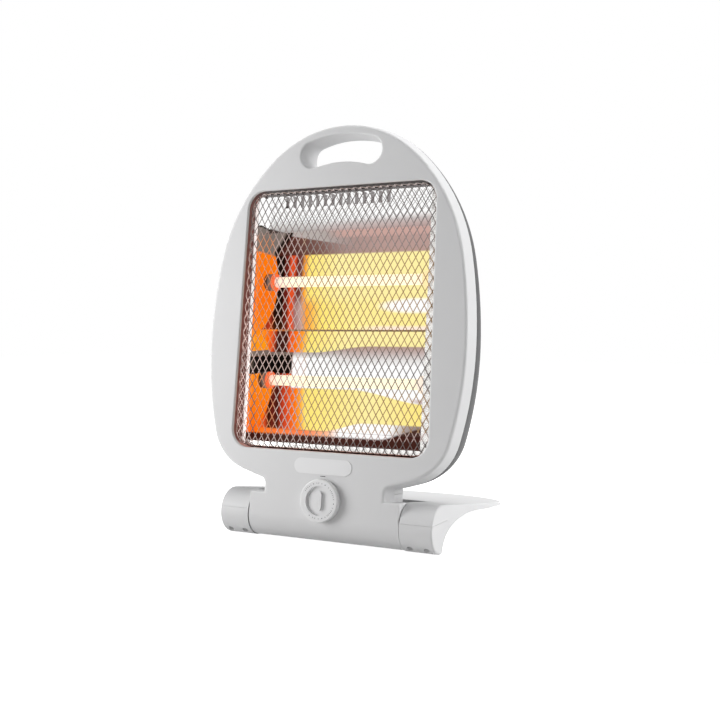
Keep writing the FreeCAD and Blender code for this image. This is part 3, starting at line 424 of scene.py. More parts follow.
def paint_foot(tree, color, x, z):
    glow = place_ramp(tree, x, [
        (-88, HOT_ORANGE), (-34, (1.0, 0.22, 0.07)), (-10, (1.0, 0.5, 0.3)), (2, WHITE), (50, WHITE),
        (66, WARM_GREY), (88, DARK_GREY)])
    edge = sloped(tree, z, soft_step(tree, x, *FOOT_GLOW_RISE_X), FOOT_GLOW_RISE)
    color = layer(tree, color, soft_below(tree, edge, *FOOT_GLOW_TOP), glow)
    dark = sloped(tree, z, soft_step(tree, x, *FOOT_DARK_RISE_X), FOOT_DARK_RISE)
    return layer(tree, color, soft_below(tree, dark, *FOOT_DARK_TOP), BROWN)


# Upper reflector, below: the mirrored side sheet at the left, the glow of the tube and a glint at the right.

WARM_TOP = (202.0, 8.0)
WARM_LEFT = (-70.0, 1.5)
GLINT_MIDDLE = (66.0, 196.0)
GLINT_REACH = (36.0, 7.0)
GLINT_SOFT = 0.6
PEACH_TOP = (175.5, 2.0)
PEACH_LEFT = (25.0, 20.0)


def paint_upper_glow(tree, band, x, z):
    color = place_ramp(tree, band, [
        (-106, DARK_EMBER), (-96, EMBER), (-91, BLACK), (-82, BLACK), (-80, DARK_EMBER), (-77, DARK_EMBER),
        (-74, RED), (-70, RED), (-67, DARK_EMBER), (-62, (0.16, 0.05, 0.045)), (-58, AMBER), (-53, YELLOW),
        (-20, PALE_YELLOW), (88, PALE_YELLOW)])
    warm = place_ramp(tree, band, [
        (-72, RED), (-68, (0.35, 0.16, 0.15)), (-62, ROSE), (-55, AMBER), (-38, YELLOW), (-5, SOFT_YELLOW)])
    low = product(tree, soft_below(tree, z, *WARM_TOP), soft_step(tree, band, *WARM_LEFT))
    color = layer(tree, color, low, warm)
    color = layer(tree, color, soft_spot(tree, x, z, GLINT_MIDDLE, GLINT_REACH, GLINT_SOFT), WHITE)
    peach = product(tree, soft_below(tree, z, *PEACH_TOP), soft_step(tree, x, *PEACH_LEFT))
    return layer(tree, color, peach, PEACH)


# Upper reflector, above: a veil of unlit sheet, with a pale painted reflection at the upper left, a blush of
# painted light along its top at the right and the painted shadow of the side sheet at its left end.

VEIL_FOOT = (245.4, 0.8)
PALE_SLOPE = -0.155
PALE_FOOT = (251.8, 0.7)
PALE_RIGHT = (-14.0, 22.0)
PALE_VEIL = (0.47, 0.42, 0.4)
BLUSH_FOOT = (259.0, 1.2)
BLUSH_LEFT = (-14.0, 12.0)
BLUSH = (0.59, 0.37, 0.33)
SHADOW_SLOPE = 1.5
SHADOW_Z = 246.5
SHADOW_RIGHT = (-84.0, 1.5)


def paint_veil(tree, x, z):
    veil = place_ramp(tree, x, [
        (-88, BROWN), (-62, (0.09, 0.03, 0.025)), (-34, (0.2, 0.1, 0.085)), (-8, (0.38, 0.26, 0.24)),
        (30, (0.47, 0.31, 0.28)), (88, (0.48, 0.32, 0.29))])
    pale = soft_step(tree, sloped(tree, z, x, PALE_SLOPE), *PALE_FOOT)
    veil = layer(tree, veil, product(tree, pale, soft_below(tree, x, *PALE_RIGHT)), PALE_VEIL)
    blush = product(tree, soft_step(tree, z, *BLUSH_FOOT), soft_step(tree, x, *BLUSH_LEFT))
    veil = layer(tree, veil, blush, BLUSH)
    shadow = sloped(tree, x, math_node(tree, "SUBTRACT", z, SHADOW_Z), SHADOW_SLOPE)
    edge = place_ramp(tree, shadow, [(-93, SHEET_GREY), (-90, BLACK), (-84, BLACK)])
    return layer(tree, veil, soft_below(tree, shadow, *SHADOW_RIGHT), edge)


def paint_upper_reflector(tree, x, y, z):
    glow = paint_upper_glow(tree, along_bands(tree, x, y), x, z)
    return layer(tree, glow, soft_step(tree, z, *VEIL_FOOT), paint_veil(tree, x, z))


# Lower reflector: over the glow of its tube lies a white wedge, with a blush at its right and a black corner
# at its left. A grey shade above the wedge is broad at the right, and over it is the glow of the upper tube.

WEDGE_RISE = -11.5
WEDGE_RISE_X = (38.0, 40.0)
WEDGE_FOOT = (118.0, 0.8)
WEDGE_LEFT = (-66.5, 1.2)
WEDGE_BLUSH = (118.4, 122.0, 1.4)
WEDGE_BLUSH_LEFT = (66.0, 12.0)
CORNER_FOOT = (131.5, 0.5)
CORNER_RIGHT = (-66.5, 1.0)
SHADE_RISE = 6.0
SHADE_RISE_X = (-8.0, 33.0)
SHADE_FOOT = (135.0, 1.0)
SHADE_LEFT = (-66.5, 1.5)
BROAD_SHADE_LEFT = (-12.0, 26.0)
LEDGE_FOOT = (149.0, 0.5)
UPPER_GLOW_FOOT = (151.8, 0.6)


def paint_wedge(tree, color, band, x, z):
    wedge = sloped(tree, z, soft_step(tree, x, *WEDGE_RISE_X), WEDGE_RISE)
    white = product(tree, soft_step(tree, wedge, *WEDGE_FOOT), soft_step(tree, band, *WEDGE_LEFT))
    color = layer(tree, color, white, WHITE)
    blush = product(tree, soft_band(tree, wedge, *WEDGE_BLUSH), soft_step(tree, x, *WEDGE_BLUSH_LEFT))
    color = layer(tree, color, blush, ROSE)
    corner = product(tree, soft_step(tree, z, *CORNER_FOOT), soft_below(tree, band, *CORNER_RIGHT))
    return layer(tree, color, corner, BLACK)


def paint_lower_reflector(tree, x, y, z):
    band = along_bands(tree, x, y)
    color = place_ramp(tree, band, [
        (-106, HOT_ORANGE), (-96, RED), (-91, BLACK), (-87, DARK_EMBER), (-81, BROWN), (-77, EMBER),
        (-70, RED), (-62, HOT_ORANGE), (-56, AMBER), (-50, YELLOW), (20, PALE_YELLOW), (88, YELLOW)])
    color = paint_wedge(tree, paint_foot(tree, color, x, z), band, x, z)
    grey = sloped(tree, z, soft_step(tree, x, *SHADE_RISE_X), SHADE_RISE)
    broad = place_ramp(tree, grey, [
        (134, WHITE), (140, (0.78, 0.75, 0.74)), (146, (0.56, 0.45, 0.43)), (151.6, (0.44, 0.29, 0.26))])
    narrow = place_ramp(tree, grey, [
        (145.5, WHITE), (149, (0.66, 0.62, 0.6)), (151.6, (0.5, 0.4, 0.38))])
    shade = layer(tree, narrow, soft_step(tree, x, *BROAD_SHADE_LEFT), broad)
    shaded = product(tree, soft_step(tree, grey, *SHADE_FOOT), soft_step(tree, band, *SHADE_LEFT))
    color = layer(tree, color, shaded, shade)
    ledge = product(tree, soft_step(tree, grey, *LEDGE_FOOT), soft_below(tree, band, *SHADE_LEFT))
    color = layer(tree, color, ledge, DARK_GREY)
    upper = place_ramp(tree, band, [
        (-106, AMBER), (-98, HOT_ORANGE), (-91, RED), (-86, BROWN), (-75, BROWN), (-72, RED),
        (-65, HOT_ORANGE), (-58, AMBER), (-51, YELLOW), (-10, PALE_YELLOW), (88, PALE_YELLOW)])
    return layer(tree, color, soft_step(tree, grey, *UPPER_GLOW_FOOT), upper)


# Top plate: polished, so that it mirrors the net, a little flattened. Its slots seem to run on to the roof,
# which lies in shade.

NET_CELL_W = 6.87
NET_CELL_H = 8.6
NET_LINE = (0.06, 0.03)
NET_FOOT = (272.0, 3.0)
NET_GREY = (0.42, 0.4, 0.4)
SLOT_MIDDLE_X = -15.5
SLOT_PITCH = 8.3
SLOT_HALF_W = 2.0
SLOT_SOFT = 0.4
SLOT_HEAD_FOOT = (297.0, 0.4)
SLOT_ROW_HALF = (58.1, 0.5)
SLOT_GREY = (0.26, 0.24, 0.24)
ROOF_FOOT = (297.6, 0.4)
ROOF_BACK = (-1.0, 0.8)
FADE_SLOPE = 0.036
PLAIN_RIGHT = (-28.0, 26.0)
TOP_CORNER_SLOPE = -0.3
TOP_CORNER = (243.8, 1.0)
TOP_CORNER_BROWN = (0.06, 0.04, 0.035)


def mirrored_net(tree, x, z):
    lines = []
    for side in (1, -1):
        run = math_node(tree, "ADD", math_node(tree, "DIVIDE", x, NET_CELL_W),
                        math_node(tree, "DIVIDE", z, side * NET_CELL_H))
        lines.append(soft_below(tree, math_node(tree, "PINGPONG", run, 0.5), *NET_LINE))
    return product(tree, math_node(tree, "MAXIMUM", *lines), soft_step(tree, z, *NET_FOOT))


def slot_heads(tree, x, z):
    off = math_node(tree, "SUBTRACT", x, SLOT_MIDDLE_X)
    swing = math_node(tree, "PINGPONG", off, SLOT_PITCH / 2)
    slots = soft_step(tree, swing, SLOT_PITCH / 2 - SLOT_HALF_W, SLOT_SOFT)
    row = soft_below(tree, math_node(tree, "ABSOLUTE", off), *SLOT_ROW_HALF)
    return product(tree, slots, soft_step(tree, z, *SLOT_HEAD_FOOT), row)


def roof_shade(tree, y, z):
    return product(tree, soft_step(tree, z, *ROOF_FOOT), soft_below(tree, y, *ROOF_BACK))


def paint_top_plate(tree, x, y, z):
    color = place_ramp(tree, sloped(tree, z, x, FADE_SLOPE), [
        (262, (0.46, 0.32, 0.3)), (266, (0.52, 0.39, 0.37)), (271, (0.6, 0.53, 0.52)), (276.5, WHITE)])
    plain = place_ramp(tree, z, [
        (262, (0.36, 0.33, 0.31)), (267, (0.45, 0.42, 0.41)), (272, (0.68, 0.66, 0.65)), (277.5, WHITE)])
    color = layer(tree, color, soft_below(tree, x, *PLAIN_RIGHT), plain)
    color = layer(tree, color, mirrored_net(tree, x, z), NET_GREY)
    color = layer(tree, color, slot_heads(tree, x, z), SLOT_GREY)
    corner = sloped(tree, z, x, TOP_CORNER_SLOPE)
    color = layer(tree, color, soft_below(tree, corner, *TOP_CORNER), TOP_CORNER_BROWN)
    return layer(tree, color, roof_shade(tree, y, z), ROOF_SHADE)


def paint_bottom_plate(tree, x, y, z):
    return paint_foot(tree, YELLOW, x, z)


# Side sheets: painted glow, which stands in for the tubes' light on them, with a black gap under a grey
# ledge between the tubes, a bright painted reflection above their shelf, painted shade at their foot and
# under the roof, and no glow on their outer faces.

SIDE_SLOPE = 0.14
SIDE_LEDGE = (146.2, 151.5, 0.5)
SIDE_GAP = (129.6, 146.4, 0.5)
SHELF_SLOPE = -0.08
SHELF_FOOT = (268.0, 0.4)
SHELF_TOP = (269.8, 0.4)
SIDE_FOOT_TOP = (73.6, 0.8)
SIDE_OUTER_X = (88.4, 0.2)


def side_colors(tree, y, z):
    color = place_ramp(tree, z, [
        (66, (1.0, 0.12, 0.01)), (84, HOT_ORANGE), (118, (1.0, 0.24, 0.006)), (160, (1.0, 0.32, 0.006)),
        (172, (1.0, 0.22, 0.005)), (200, HOT_ORANGE), (244.5, (1.0, 0.2, 0.003)), (246, SHEET_GREY),
        (300, SHEET_GREY)])
    level = sloped(tree, z, y, SIDE_SLOPE)
    color = layer(tree, color, soft_band(tree, level, *SIDE_LEDGE), DARK_GREY)
    color = layer(tree, color, soft_band(tree, level, *SIDE_GAP), BLACK)
    shelf = sloped(tree, z, y, SHELF_SLOPE)
    color = layer(tree, color, soft_step(tree, shelf, *SHELF_FOOT), BLACK)
    color = layer(tree, color, soft_step(tree, shelf, *SHELF_TOP), WHITE)
    color = layer(tree, color, soft_below(tree, z, *SIDE_FOOT_TOP), BROWN)
    return layer(tree, color, roof_shade(tree, y, z), ROOF_SHADE)


def paint_side_sheet(tree, x, y, z):
    outer = soft_step(tree, math_node(tree, "ABSOLUTE", x), *SIDE_OUTER_X)
    return layer(tree, side_colors(tree, y, z), outer, BLACK)


# The frame's left strip mirrors the side sheet beside it, and its creased flange mirrors the bright room.

CREASE_NOISE = {"Scale": 420.0, "Detail": 3.0}
CREASE_EDGE = (0.6, 0.05)
STRIP_ACROSS = (-92.0, -86.0, 0.25)
STRIP_FOOT = (66.5, 0.4)
FLANGE_ACROSS = (-95.8, -92.3, 0.4)
ROOM_BRIGHT = (0.85, 0.83, 0.82)
ROOM_DARK = (0.1, 0.08, 0.08)


def creases(tree):
    """1 in the creases of the crumpled strip, 0 between them."""
    noise = add(tree, "ShaderNodeTexNoise", CREASE_NOISE)
    return soft_step(tree, noise.outputs["Fac"], *CREASE_EDGE)


def left_strip(tree, x, z):
    return product(tree, soft_band(tree, x, *STRIP_ACROSS), soft_step(tree, z, *STRIP_FOOT))


def paint_frame(tree, x, y, z):
    room = layer(tree, ROOM_BRIGHT, creases(tree), ROOM_DARK)
    color = layer(tree, BLACK, soft_band(tree, x, *FLANGE_ACROSS), room)
    return layer(tree, color, left_strip(tree, x, z), side_colors(tree, y, z))


# Grille wire: plated, and its colour is painted light: pale painted highlights over the dark left side and
# the foot of the net, painted shade in the bands where it lies in shadow, the chamber's painted warm glow
# elsewhere, and lighter on its folded edges.

WIRE_SHADE = (0.12, 0.1, 0.095)
WIRE_GOLD = (0.33, 0.2, 0.09)
WIRE_GREY = (0.24, 0.2, 0.19)
WIRE_DULL = (0.5, 0.36, 0.33)
WIRE_ORANGE = (0.5, 0.2, 0.09)
WIRE_BRIGHT = (0.42, 0.32, 0.3)
WIRE_FOLDED = (0.6, 0.47, 0.44)
WIRE_TOP_FOLD = (0.8, 0.7, 0.68)
COLUMN_SLOPE = -0.068
COLUMN_Z = 200.0
LEFT_WIRES = (-29.0, 2.0)
LEFT_WIRES_TOP = (258.0, 6.0)
GAP_WIRES = (129.0, 150.0, 1.0)
GAP_WIRES_RIGHT = (-34.0, 2.0)
FOOT_ROW_SLOPE = 0.053
FOOT_ROW_TOP = (76.8, 0.8)
LAST_ROW_TOP = (69.3, 0.8)
FOLD_FRONT_Y = (-16.2, 0.8)
TOP_FOLD_FOOT = (297.0, 1.0)


def paint_wire(tree, x, y, z):
    color = place_ramp(tree, z, [
        (104, WIRE_GOLD), (112, WIRE_GOLD), (120, WIRE_SHADE), (150, WIRE_SHADE), (157, WIRE_GOLD),
        (237, WIRE_GOLD), (243, WIRE_GREY), (262, WIRE_GREY), (270, WIRE_SHADE), (300, WIRE_SHADE)])
    column = sloped(tree, x, math_node(tree, "SUBTRACT", z, COLUMN_Z), COLUMN_SLOPE)
    left = place_ramp(tree, column, [
        (-104, WIRE_DULL), (-92, WIRE_DULL), (-90, WIRE_SHADE), (-85, WIRE_SHADE), (-83, WIRE_ORANGE),
        (-65, WIRE_ORANGE), (-61, WIRE_BRIGHT), (-34, WIRE_BRIGHT), (-28, WIRE_GOLD)])
    beside = product(tree, soft_below(tree, column, *LEFT_WIRES), soft_below(tree, z, *LEFT_WIRES_TOP))
    color = layer(tree, color, beside, left)
    gap = product(tree, soft_below(tree, column, *GAP_WIRES_RIGHT), soft_band(tree, z, *GAP_WIRES))
    color = layer(tree, color, gap, WIRE_BRIGHT)
    row = sloped(tree, z, x, FOOT_ROW_SLOPE)
    color = layer(tree, color, soft_below(tree, row, *FOOT_ROW_TOP), WIRE_BRIGHT)
    color = layer(tree, color, soft_below(tree, row, *LAST_ROW_TOP), WIRE_SHADE)
    color = layer(tree, color, soft_step(tree, y, *FOLD_FRONT_Y), WIRE_FOLDED)
    return layer(tree, color, soft_step(tree, z, *TOP_FOLD_FOOT), WIRE_TOP_FOLD)


# Inner wall of the opening: it lies in the warm shade behind the folded edge of the net, which is painted
# here, with a pink painted glow along its foot.

LIP_LEFT = (0.33, 0.13, 0.11)
LIP_MIDDLE = (0.035, 0.024, 0.024)
LIP_RIGHT = (0.035, 0.028, 0.028)
LIP_LOW = (0.8, 0.45, 0.42)
LIP_LOW_TOP = (64.0, 2.0)


def paint_lip(tree, x, y, z):
    color = place_ramp(tree, x, [(-101, LIP_LEFT), (-80, LIP_MIDDLE), (101, LIP_RIGHT)])
    return layer(tree, color, soft_below(tree, z, *LIP_LOW_TOP), LIP_LOW)


# End caps, in painted light: the right-hand ones are lit from their tubes, the left-hand ones have a grey
# painted glow on their body and glow red at the mouth, and the rest is black.

CAP_UPPER_ROW = (170.0, 5.0)
CAP_RIGHT_X = (70.0, 88.2, 0.4)
CAP_BODY_X = (-84.4, -80.6, 0.8)
CAP_MOUTH_X = (-80.6, -70.0, 0.6)
CAP_LIT_LOWER = (1.0, 0.84, 0.7)
CAP_LIT_UPPER = (1.0, 0.8, 0.4)
CAP_GREY = (0.12, 0.1, 0.09)
CAP_RED = (1.0, 0.12, 0.02)


def paint_cap_light(tree, x, y, z):
    lit = layer(tree, CAP_LIT_LOWER, soft_step(tree, z, *CAP_UPPER_ROW), CAP_LIT_UPPER)
    color = layer(tree, BLACK, soft_band(tree, x, *CAP_RIGHT_X), lit)
    color = layer(tree, color, soft_band(tree, x, *CAP_BODY_X), CAP_GREY)
    return layer(tree, color, soft_band(tree, x, *CAP_MOUTH_X), CAP_RED)


# Inside of the rear cover above the chamber, lit through the slots of the top plate.

COVER_SLOPE = -0.35
COVER_INSIDE = (124.0, 0.5)
SLOT_LIGHT_BAND = (278.0, 308.0, 3.0)
SLOT_LIGHT_HALF = (78.0, 1.0)


def paint_slot_light(tree, x, y, z):
    inside = soft_below(tree, sloped(tree, y, z, COVER_SLOPE), *COVER_INSIDE)
    across = soft_below(tree, math_node(tree, "ABSOLUTE", x), *SLOT_LIGHT_HALF)
    lit = product(tree, inside, soft_band(tree, z, *SLOT_LIGHT_BAND), across)
    return layer(tree, UNLIT, lit, SLOT_GREY)


def make_groups():
    make_moulded_group()
    make_rolled_group()
    make_place_group("Place in head", HINGE, LEAN)
    make_place_group("Place in piece", Vector(), 0.0)
    place_group("Upper reflector glow", paint_upper_reflector, front_only=True)
    place_group("Lower reflector glow", paint_lower_reflector, front_only=True)
    place_group("Top plate glow", paint_top_plate, front_only=True)
    place_group("Bottom plate glow", paint_bottom_plate, front_only=True)
    place_group("Side sheet glow", paint_side_sheet)
    place_group("Frame glow", paint_frame)
    place_group("Wire tint", paint_wire, "Place in piece")
    place_group("Lip shade", paint_lip)
    place_group("Slot light", paint_slot_light)
    place_group("Cap light", paint_cap_light)


# Materials: heights of the grain in millimetres, shares of it that show, and how far a colour varies

GRAIN_HEIGHT = 0.1
STREAK_HEIGHT = 0.05
STREAK_RELIEF = 0.05
FINE_RELIEF = 0.1
COLOR_VARIATION = 0.03


def principled(tree):
    return next(n for n in tree.nodes if n.type == "BSDF_PRINCIPLED")


def material(name, **sockets):
    made = bpy.data.materials.new(name)
    made.use_nodes = True
    tree = made.node_tree
    bsdf = principled(tree)
    for label, value in sockets.items():
        bsdf.inputs[label.replace("_", " ")].default_value = value
    return made, tree, bsdf


def bump(tree, bsdf, height, strength, distance):
    node = add(tree, "ShaderNodeBump", {"Strength": strength, "Distance": distance})
    wire_up(tree, (height, node.inputs["Height"]), (node.outputs[0], bsdf.inputs["Normal"]))


def moulded(name, color, gloss, grain=900.0, relief=0.12, **sockets):
    made, tree, bsdf = material(name, **sockets)
    group = use_group(tree, "Moulded grain", {
        "Color": (*color, 1.0), "Gloss": gloss, "Grain": grain, "Variation": COLOR_VARIATION})
    wire_up(tree, (group.outputs["Color"], bsdf.inputs["Base Color"]),
            (group.outputs["Roughness"], bsdf.inputs["Roughness"]))
    bump(tree, bsdf, group.outputs["Height"], relief, GRAIN_HEIGHT * MM)
    return made


def rolled(name, color, gloss, streak=0.1, **sockets):
    made, tree, bsdf = material(name, Metallic=1.0, **sockets)
    group = use_group(tree, "Rolled sheet", {"Color": (*color, 1.0), "Gloss": gloss, "Streak": streak})
    wire_up(tree, (group.outputs["Color"], bsdf.inputs["Base Color"]),
            (group.outputs["Roughness"], bsdf.inputs["Roughness"]))
    bump(tree, bsdf, group.outputs["Height"], STREAK_RELIEF, STREAK_HEIGHT * MM)
    return made


def paint_over(made, mask, color):
    """Lays a colour over a material's base colour where the mask is 1."""
    tree = made.node_tree
    base = principled(tree).inputs["Base Color"]
    wire_up(tree, (layer(tree, base.links[0].from_socket, mask, color), base))


def shine(made, glow):
    """Feeds the glow painted by a place group to a material."""
    tree = made.node_tree
    wire_up(tree, (use_group(tree, glow).outputs["Color"], principled(tree).inputs["Emission Color"]))


# Bright frame: crumpled polished strip, with painted shade in the creases of its uprights, and a near-black
# base where the painted reflection of the side sheet glows on its left strip.

FRAME_GLOSS = 0.22
FRAME_UPRIGHT_X = (87.0, 0.5)
CREASE_SHADE = (0.22, 0.19, 0.18)
STRIP_DARK_BASE = (0.02, 0.015, 0.012)


def bright_frame(color):
    made = rolled("Bright frame", color, FRAME_GLOSS, Emission_Strength=1.0)
    shine(made, "Frame glow")
    tree = made.node_tree
    spot = use_group(tree, "Place in head")
    uprights = soft_step(tree, math_node(tree, "ABSOLUTE", spot.outputs["X"]), *FRAME_UPRIGHT_X)
    paint_over(made, product(tree, creases(tree), uprights), CREASE_SHADE)
    paint_over(made, left_strip(tree, spot.outputs["X"], spot.outputs["Z"]), STRIP_DARK_BASE)
    return made


# Glow-painted sheet: dull metal with a near-black base, which shines with the colour painted at each place:
# painted light that stands in for the tubes' glow on it and its reflections.

SHEET_DARK_BASE = (0.008, 0.007, 0.006)
SHEET_GLOSS = 0.35


def glow_painted_sheet(name, glow, strength):
    made = rolled(name, SHEET_DARK_BASE, SHEET_GLOSS, Emission_Strength=strength)
    shine(made, glow)
    return made


# Glowing quartz: milky tubes, hot along their length and redder at their ends.

QUARTZ_MILK = (0.25, 0.24, 0.23, 1.0)


def tube_glow(settings):
    made, tree, bsdf = material("Glowing quartz", Roughness=0.25, Base_Color=QUARTZ_MILK,
                                Emission_Strength=settings.tube_strength)
    spot = use_group(tree, "Place in head")
    hot = tuple(settings.tube_color)
    color = place_ramp(tree, spot.outputs["X"], [
        (-90, EMBER), (-80, (0.75, 0.4, 0.33)), (-72, (0.95, 0.72, 0.55)), (-60, hot), (70, hot),
        (90, ROSE)])
    grain = add(tree, "ShaderNodeTexNoise", {"Scale": 900.0})
    wire_up(tree, (color, bsdf.inputs["Emission Color"]))
    bump(tree, bsdf, grain.outputs["Fac"], FINE_RELIEF, GRAIN_HEIGHT * MM)
    return made


# Wire whose base colour is the painted light of the wire group: highlights, shade and glow
def light_painted_wire():
    made, tree, bsdf = material("Plated wire", Metallic=0.5, Roughness=0.4)
    wire_up(tree, (use_group(tree, "Wire tint").outputs["Color"], bsdf.inputs["Base Color"]))
    grain = add(tree, "ShaderNodeTexNoise", {"Scale": 2500.0})
    bump(tree, bsdf, grain.outputs["Fac"], FINE_RELIEF, STREAK_HEIGHT * MM)
    return made


# Casing plastic, with painted shade only where its lip lines the opening.

LIP_FRONT_Y = (FACE_Y + 2.2, 0.5)
LIP_REACH = (OPEN_CORNER_R + 1.4, 0.2)
LIP_FOOT_Z = (OPEN_BOTTOM_Z - 1.3, 0.2)


def opening_reach(tree, across, z):
    """Distance from the opening's core, which is the opening less the radius of its upper corners."""
    squares = []
    for value, edge in ((across, OPEN_TOP_HALF - OPEN_CORNER_R), (z, OPEN_TOP_Z - OPEN_CORNER_R)):
        past = math_node(tree, "MAXIMUM", math_node(tree, "SUBTRACT", value, edge), 0.0)
        squares.append(math_node(tree, "MULTIPLY", past, past))
    return math_node(tree, "SQRT", math_node(tree, "ADD", *squares))


def casing_plastic(settings):
    made = moulded("Light grey plastic", tuple(settings.casing_color), settings.casing_roughness,
                   Specular_IOR_Level=0.25)
    tree = made.node_tree
    spot = use_group(tree, "Place in head")
    x, y, z = (spot.outputs[axis] for axis in "XYZ")
    over_top = math_node(tree, "SUBTRACT", z, OPEN_TOP_Z)
    across = sloped(tree, math_node(tree, "ABSOLUTE", x), over_top, -OPEN_DRAFT)
    reach = opening_reach(tree, across, z)
    lip = product(tree, soft_step(tree, y, *LIP_FRONT_Y), soft_below(tree, reach, *LIP_REACH),
                  soft_step(tree, z, *LIP_FOOT_Z))
    paint_over(made, lip, use_group(tree, "Lip shade").outputs["Color"])
    return made


# Rear cover: dark, with its neck beside the stem in the casing's grey.

REAR_GLOSS = 0.5
NECK_TOP = (36.0, 0.3)


def rear_plastic(settings):
    made = moulded("Dark grey plastic", tuple(settings.rear_color), REAR_GLOSS, relief=0.2,
                   Emission_Strength=1.0, Specular_IOR_Level=0.15)
    shine(made, "Slot light")
    tree = made.node_tree
    neck = soft_below(tree, use_group(tree, "Place in head").outputs["Z"], *NECK_TOP)
    paint_over(made, neck, tuple(settings.casing_color))
    return made


# Smaller pieces: colour and gloss of each finish

BLACK_PLASTIC = ((0.02, 0.02, 0.02), 0.5)
BUSH_PLASTIC = ((0.7, 0.7, 0.66), 0.45)
RUBBER = ((0.02, 0.02, 0.02), 0.8)
SHIELD_SHEET = ((0.55, 0.55, 0.55), 0.4)
CUTOUT_CAN = ((0.7, 0.7, 0.7), 0.35)
OXIDISED_COIL = ((0.4, 0.25, 0.18), 0.5)
# Dark base of the end caps, under their painted light
DARK_CERAMIC = ((0.07, 0.06, 0.055), 0.7)
PLATED_STEEL = ((0.6, 0.6, 0.61), 0.3)
DIAL_LIGHTER = 1.06
DIAL_SMOOTHER = 0.06
PLATE_LIGHTER = 1.12
PLATE_GLOSS = 0.35
PRINT_GLOSS = 0.5


def finish(names, made):
    for name in names:
        slots = frame["nodes"][name].data.materials
        if len(slots) == 0:
            slots.append(made)
        for i in range(len(slots)):
            slots[i] = made


def place_piece(name, mesh, made, body, matrix):
    mesh.materials.clear()
    mesh.materials.append(made)
    piece = bpy.data.objects.new(name, mesh)
    bpy.context.scene.collection.objects.link(piece)
    piece.matrix_world = matrix
    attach(piece, body)
    return piece


class HeaterOperator:
    bl_options = {"REGISTER", "UNDO"}


class HEATER_OT_shells(HeaterOperator, bpy.types.Operator):
    """Gives the casing, the foot and the rear cover their moulded plastic"""
    bl_idname = "heater.shells"
    bl_label = "Finish shells"

    def execute(self, context):
        look = context.scene.heater_finish
        finish(SHELL_NODES, casing_plastic(look))
        light = tuple(DIAL_LIGHTER * c for c in look.casing_color)
        finish(["knob"], moulded("Dial plastic", light, look.casing_roughness - DIAL_SMOOTHER))
        finish(["rear_cover"], rear_plastic(look))
        finish(DARK_NODES, moulded("Black plastic", *BLACK_PLASTIC))
        finish(["hinge_bush_right", "hinge_bush_left"], moulded("Bush plastic", *BUSH_PLASTIC))
        finish(["rubber_pads"], moulded("Rubber", *RUBBER, grain=400.0, relief=0.4))
        return {"FINISHED"}


class HEATER_OT_chamber(HeaterOperator, bpy.types.Operator):
    """Gives the reflectors, the tubes and the glow-painted sheets of the chamber their glow, which is
    painted light on all but the tubes
    """
    bl_idname = "heater.chamber"
    bl_label = "Finish radiant chamber"

    def execute(self, context):
        look = context.scene.heater_finish
        for name, (label, glow) in GLOW_PAINTED_SHEETS.items():
            finish([name], glow_painted_sheet(label, glow, look.glow_strength))
        side = glow_painted_sheet("Hot side sheet", "Side sheet glow", look.glow_strength)
        finish(["side_plate_right", "side_plate_left"], side)
        finish(["reflector_frame"], bright_frame(tuple(look.mirror_color)))
        finish(["heat_shield"], rolled("Shield sheet", *SHIELD_SHEET))
        finish(["thermal_cutout"], rolled("Cut-out can", *CUTOUT_CAN))
        finish(["quartz_tube_upper", "quartz_tube_lower"], tube_glow(look))
        finish(["heating_coil_upper", "heating_coil_lower"], rolled("Oxidised coil", *OXIDISED_COIL))
        caps = moulded("Sooty ceramic", *DARK_CERAMIC, grain=600.0, relief=0.4, Emission_Strength=1.0)
        shine(caps, "Cap light")
        finish(CAP_NODES, caps)
        return {"FINISHED"}


class HEATER_OT_hardware(HeaterOperator, bpy.types.Operator):
    """Gives pins, rings, washers, screws and the spindle their plated steel"""
    bl_idname = "heater.hardware"
    bl_label = "Finish hardware"

    def execute(self, context):
        finish(STEEL_NODES, rolled("Plated steel", *PLATED_STEEL, streak=0.2))
        return {"FINISHED"}


# Meshes of rings that follow each other, closed at both ends

def loft_faces(start, count, rings):
    """First ring, last ring and the quads between: the first runs counter-clockwise seen from outside."""
    last = start + count * (rings - 1)
    faces = [[start + i for i in range(count)], [last + i for i in reversed(range(count))]]
    for near in range(start, last, count):
        far = near + count
        for i in range(count):
            j = (i + 1) % count
            faces.append([near + j, near + i, far + i, far + j])
    return faces


def closed_mesh(name, vertices, faces):
    mesh = bpy.data.meshes.new(name)
    mesh.from_pydata(vertices, [], faces)
    mesh.validate()
    mesh.update()
    return mesh


def slab_mesh(name, outlines, back_y, thickness):
    """Flat slabs, in metres: each outline runs counter-clockwise in x and z, seen from the front."""
    vertices = []
    faces = []
    for outline in outlines:
        faces += loft_faces(len(vertices), len(outline), 2)
        for y in (back_y - thickness, back_y):
            vertices += [(x, y, z) for x, z in outline]
    return closed_mesh(name, vertices, faces)


# Flanges of the bright frame, which close the gap between it and the casing's lip.

FLANGE_IN_X = 92.2
FLANGE_FRONT_Y = -9.4
FLANGE_T = 0.4
FLANGE_BEHIND_LIP = 1.0


def flange_mesh(side):
    low_x = OPEN_BOTTOM_HALF + FLANGE_BEHIND_LIP
    high_x = OPEN_TOP_HALF + FLANGE_BEHIND_LIP
    outline = [(FLANGE_IN_X, OPEN_BOTTOM_Z), (low_x, OPEN_BOTTOM_Z), (high_x, OPEN_TOP_Z),
               (FLANGE_IN_X, OPEN_TOP_Z)]
    outline = [(side * x * MM, z * MM) for x, z in outline]
    if side < 0:
        outline.reverse()
    mesh = slab_mesh("flange", [outline], (FLANGE_FRONT_Y + FLANGE_T) * MM, FLANGE_T * MM)
    mesh.transform(HEAD)
    return mesh


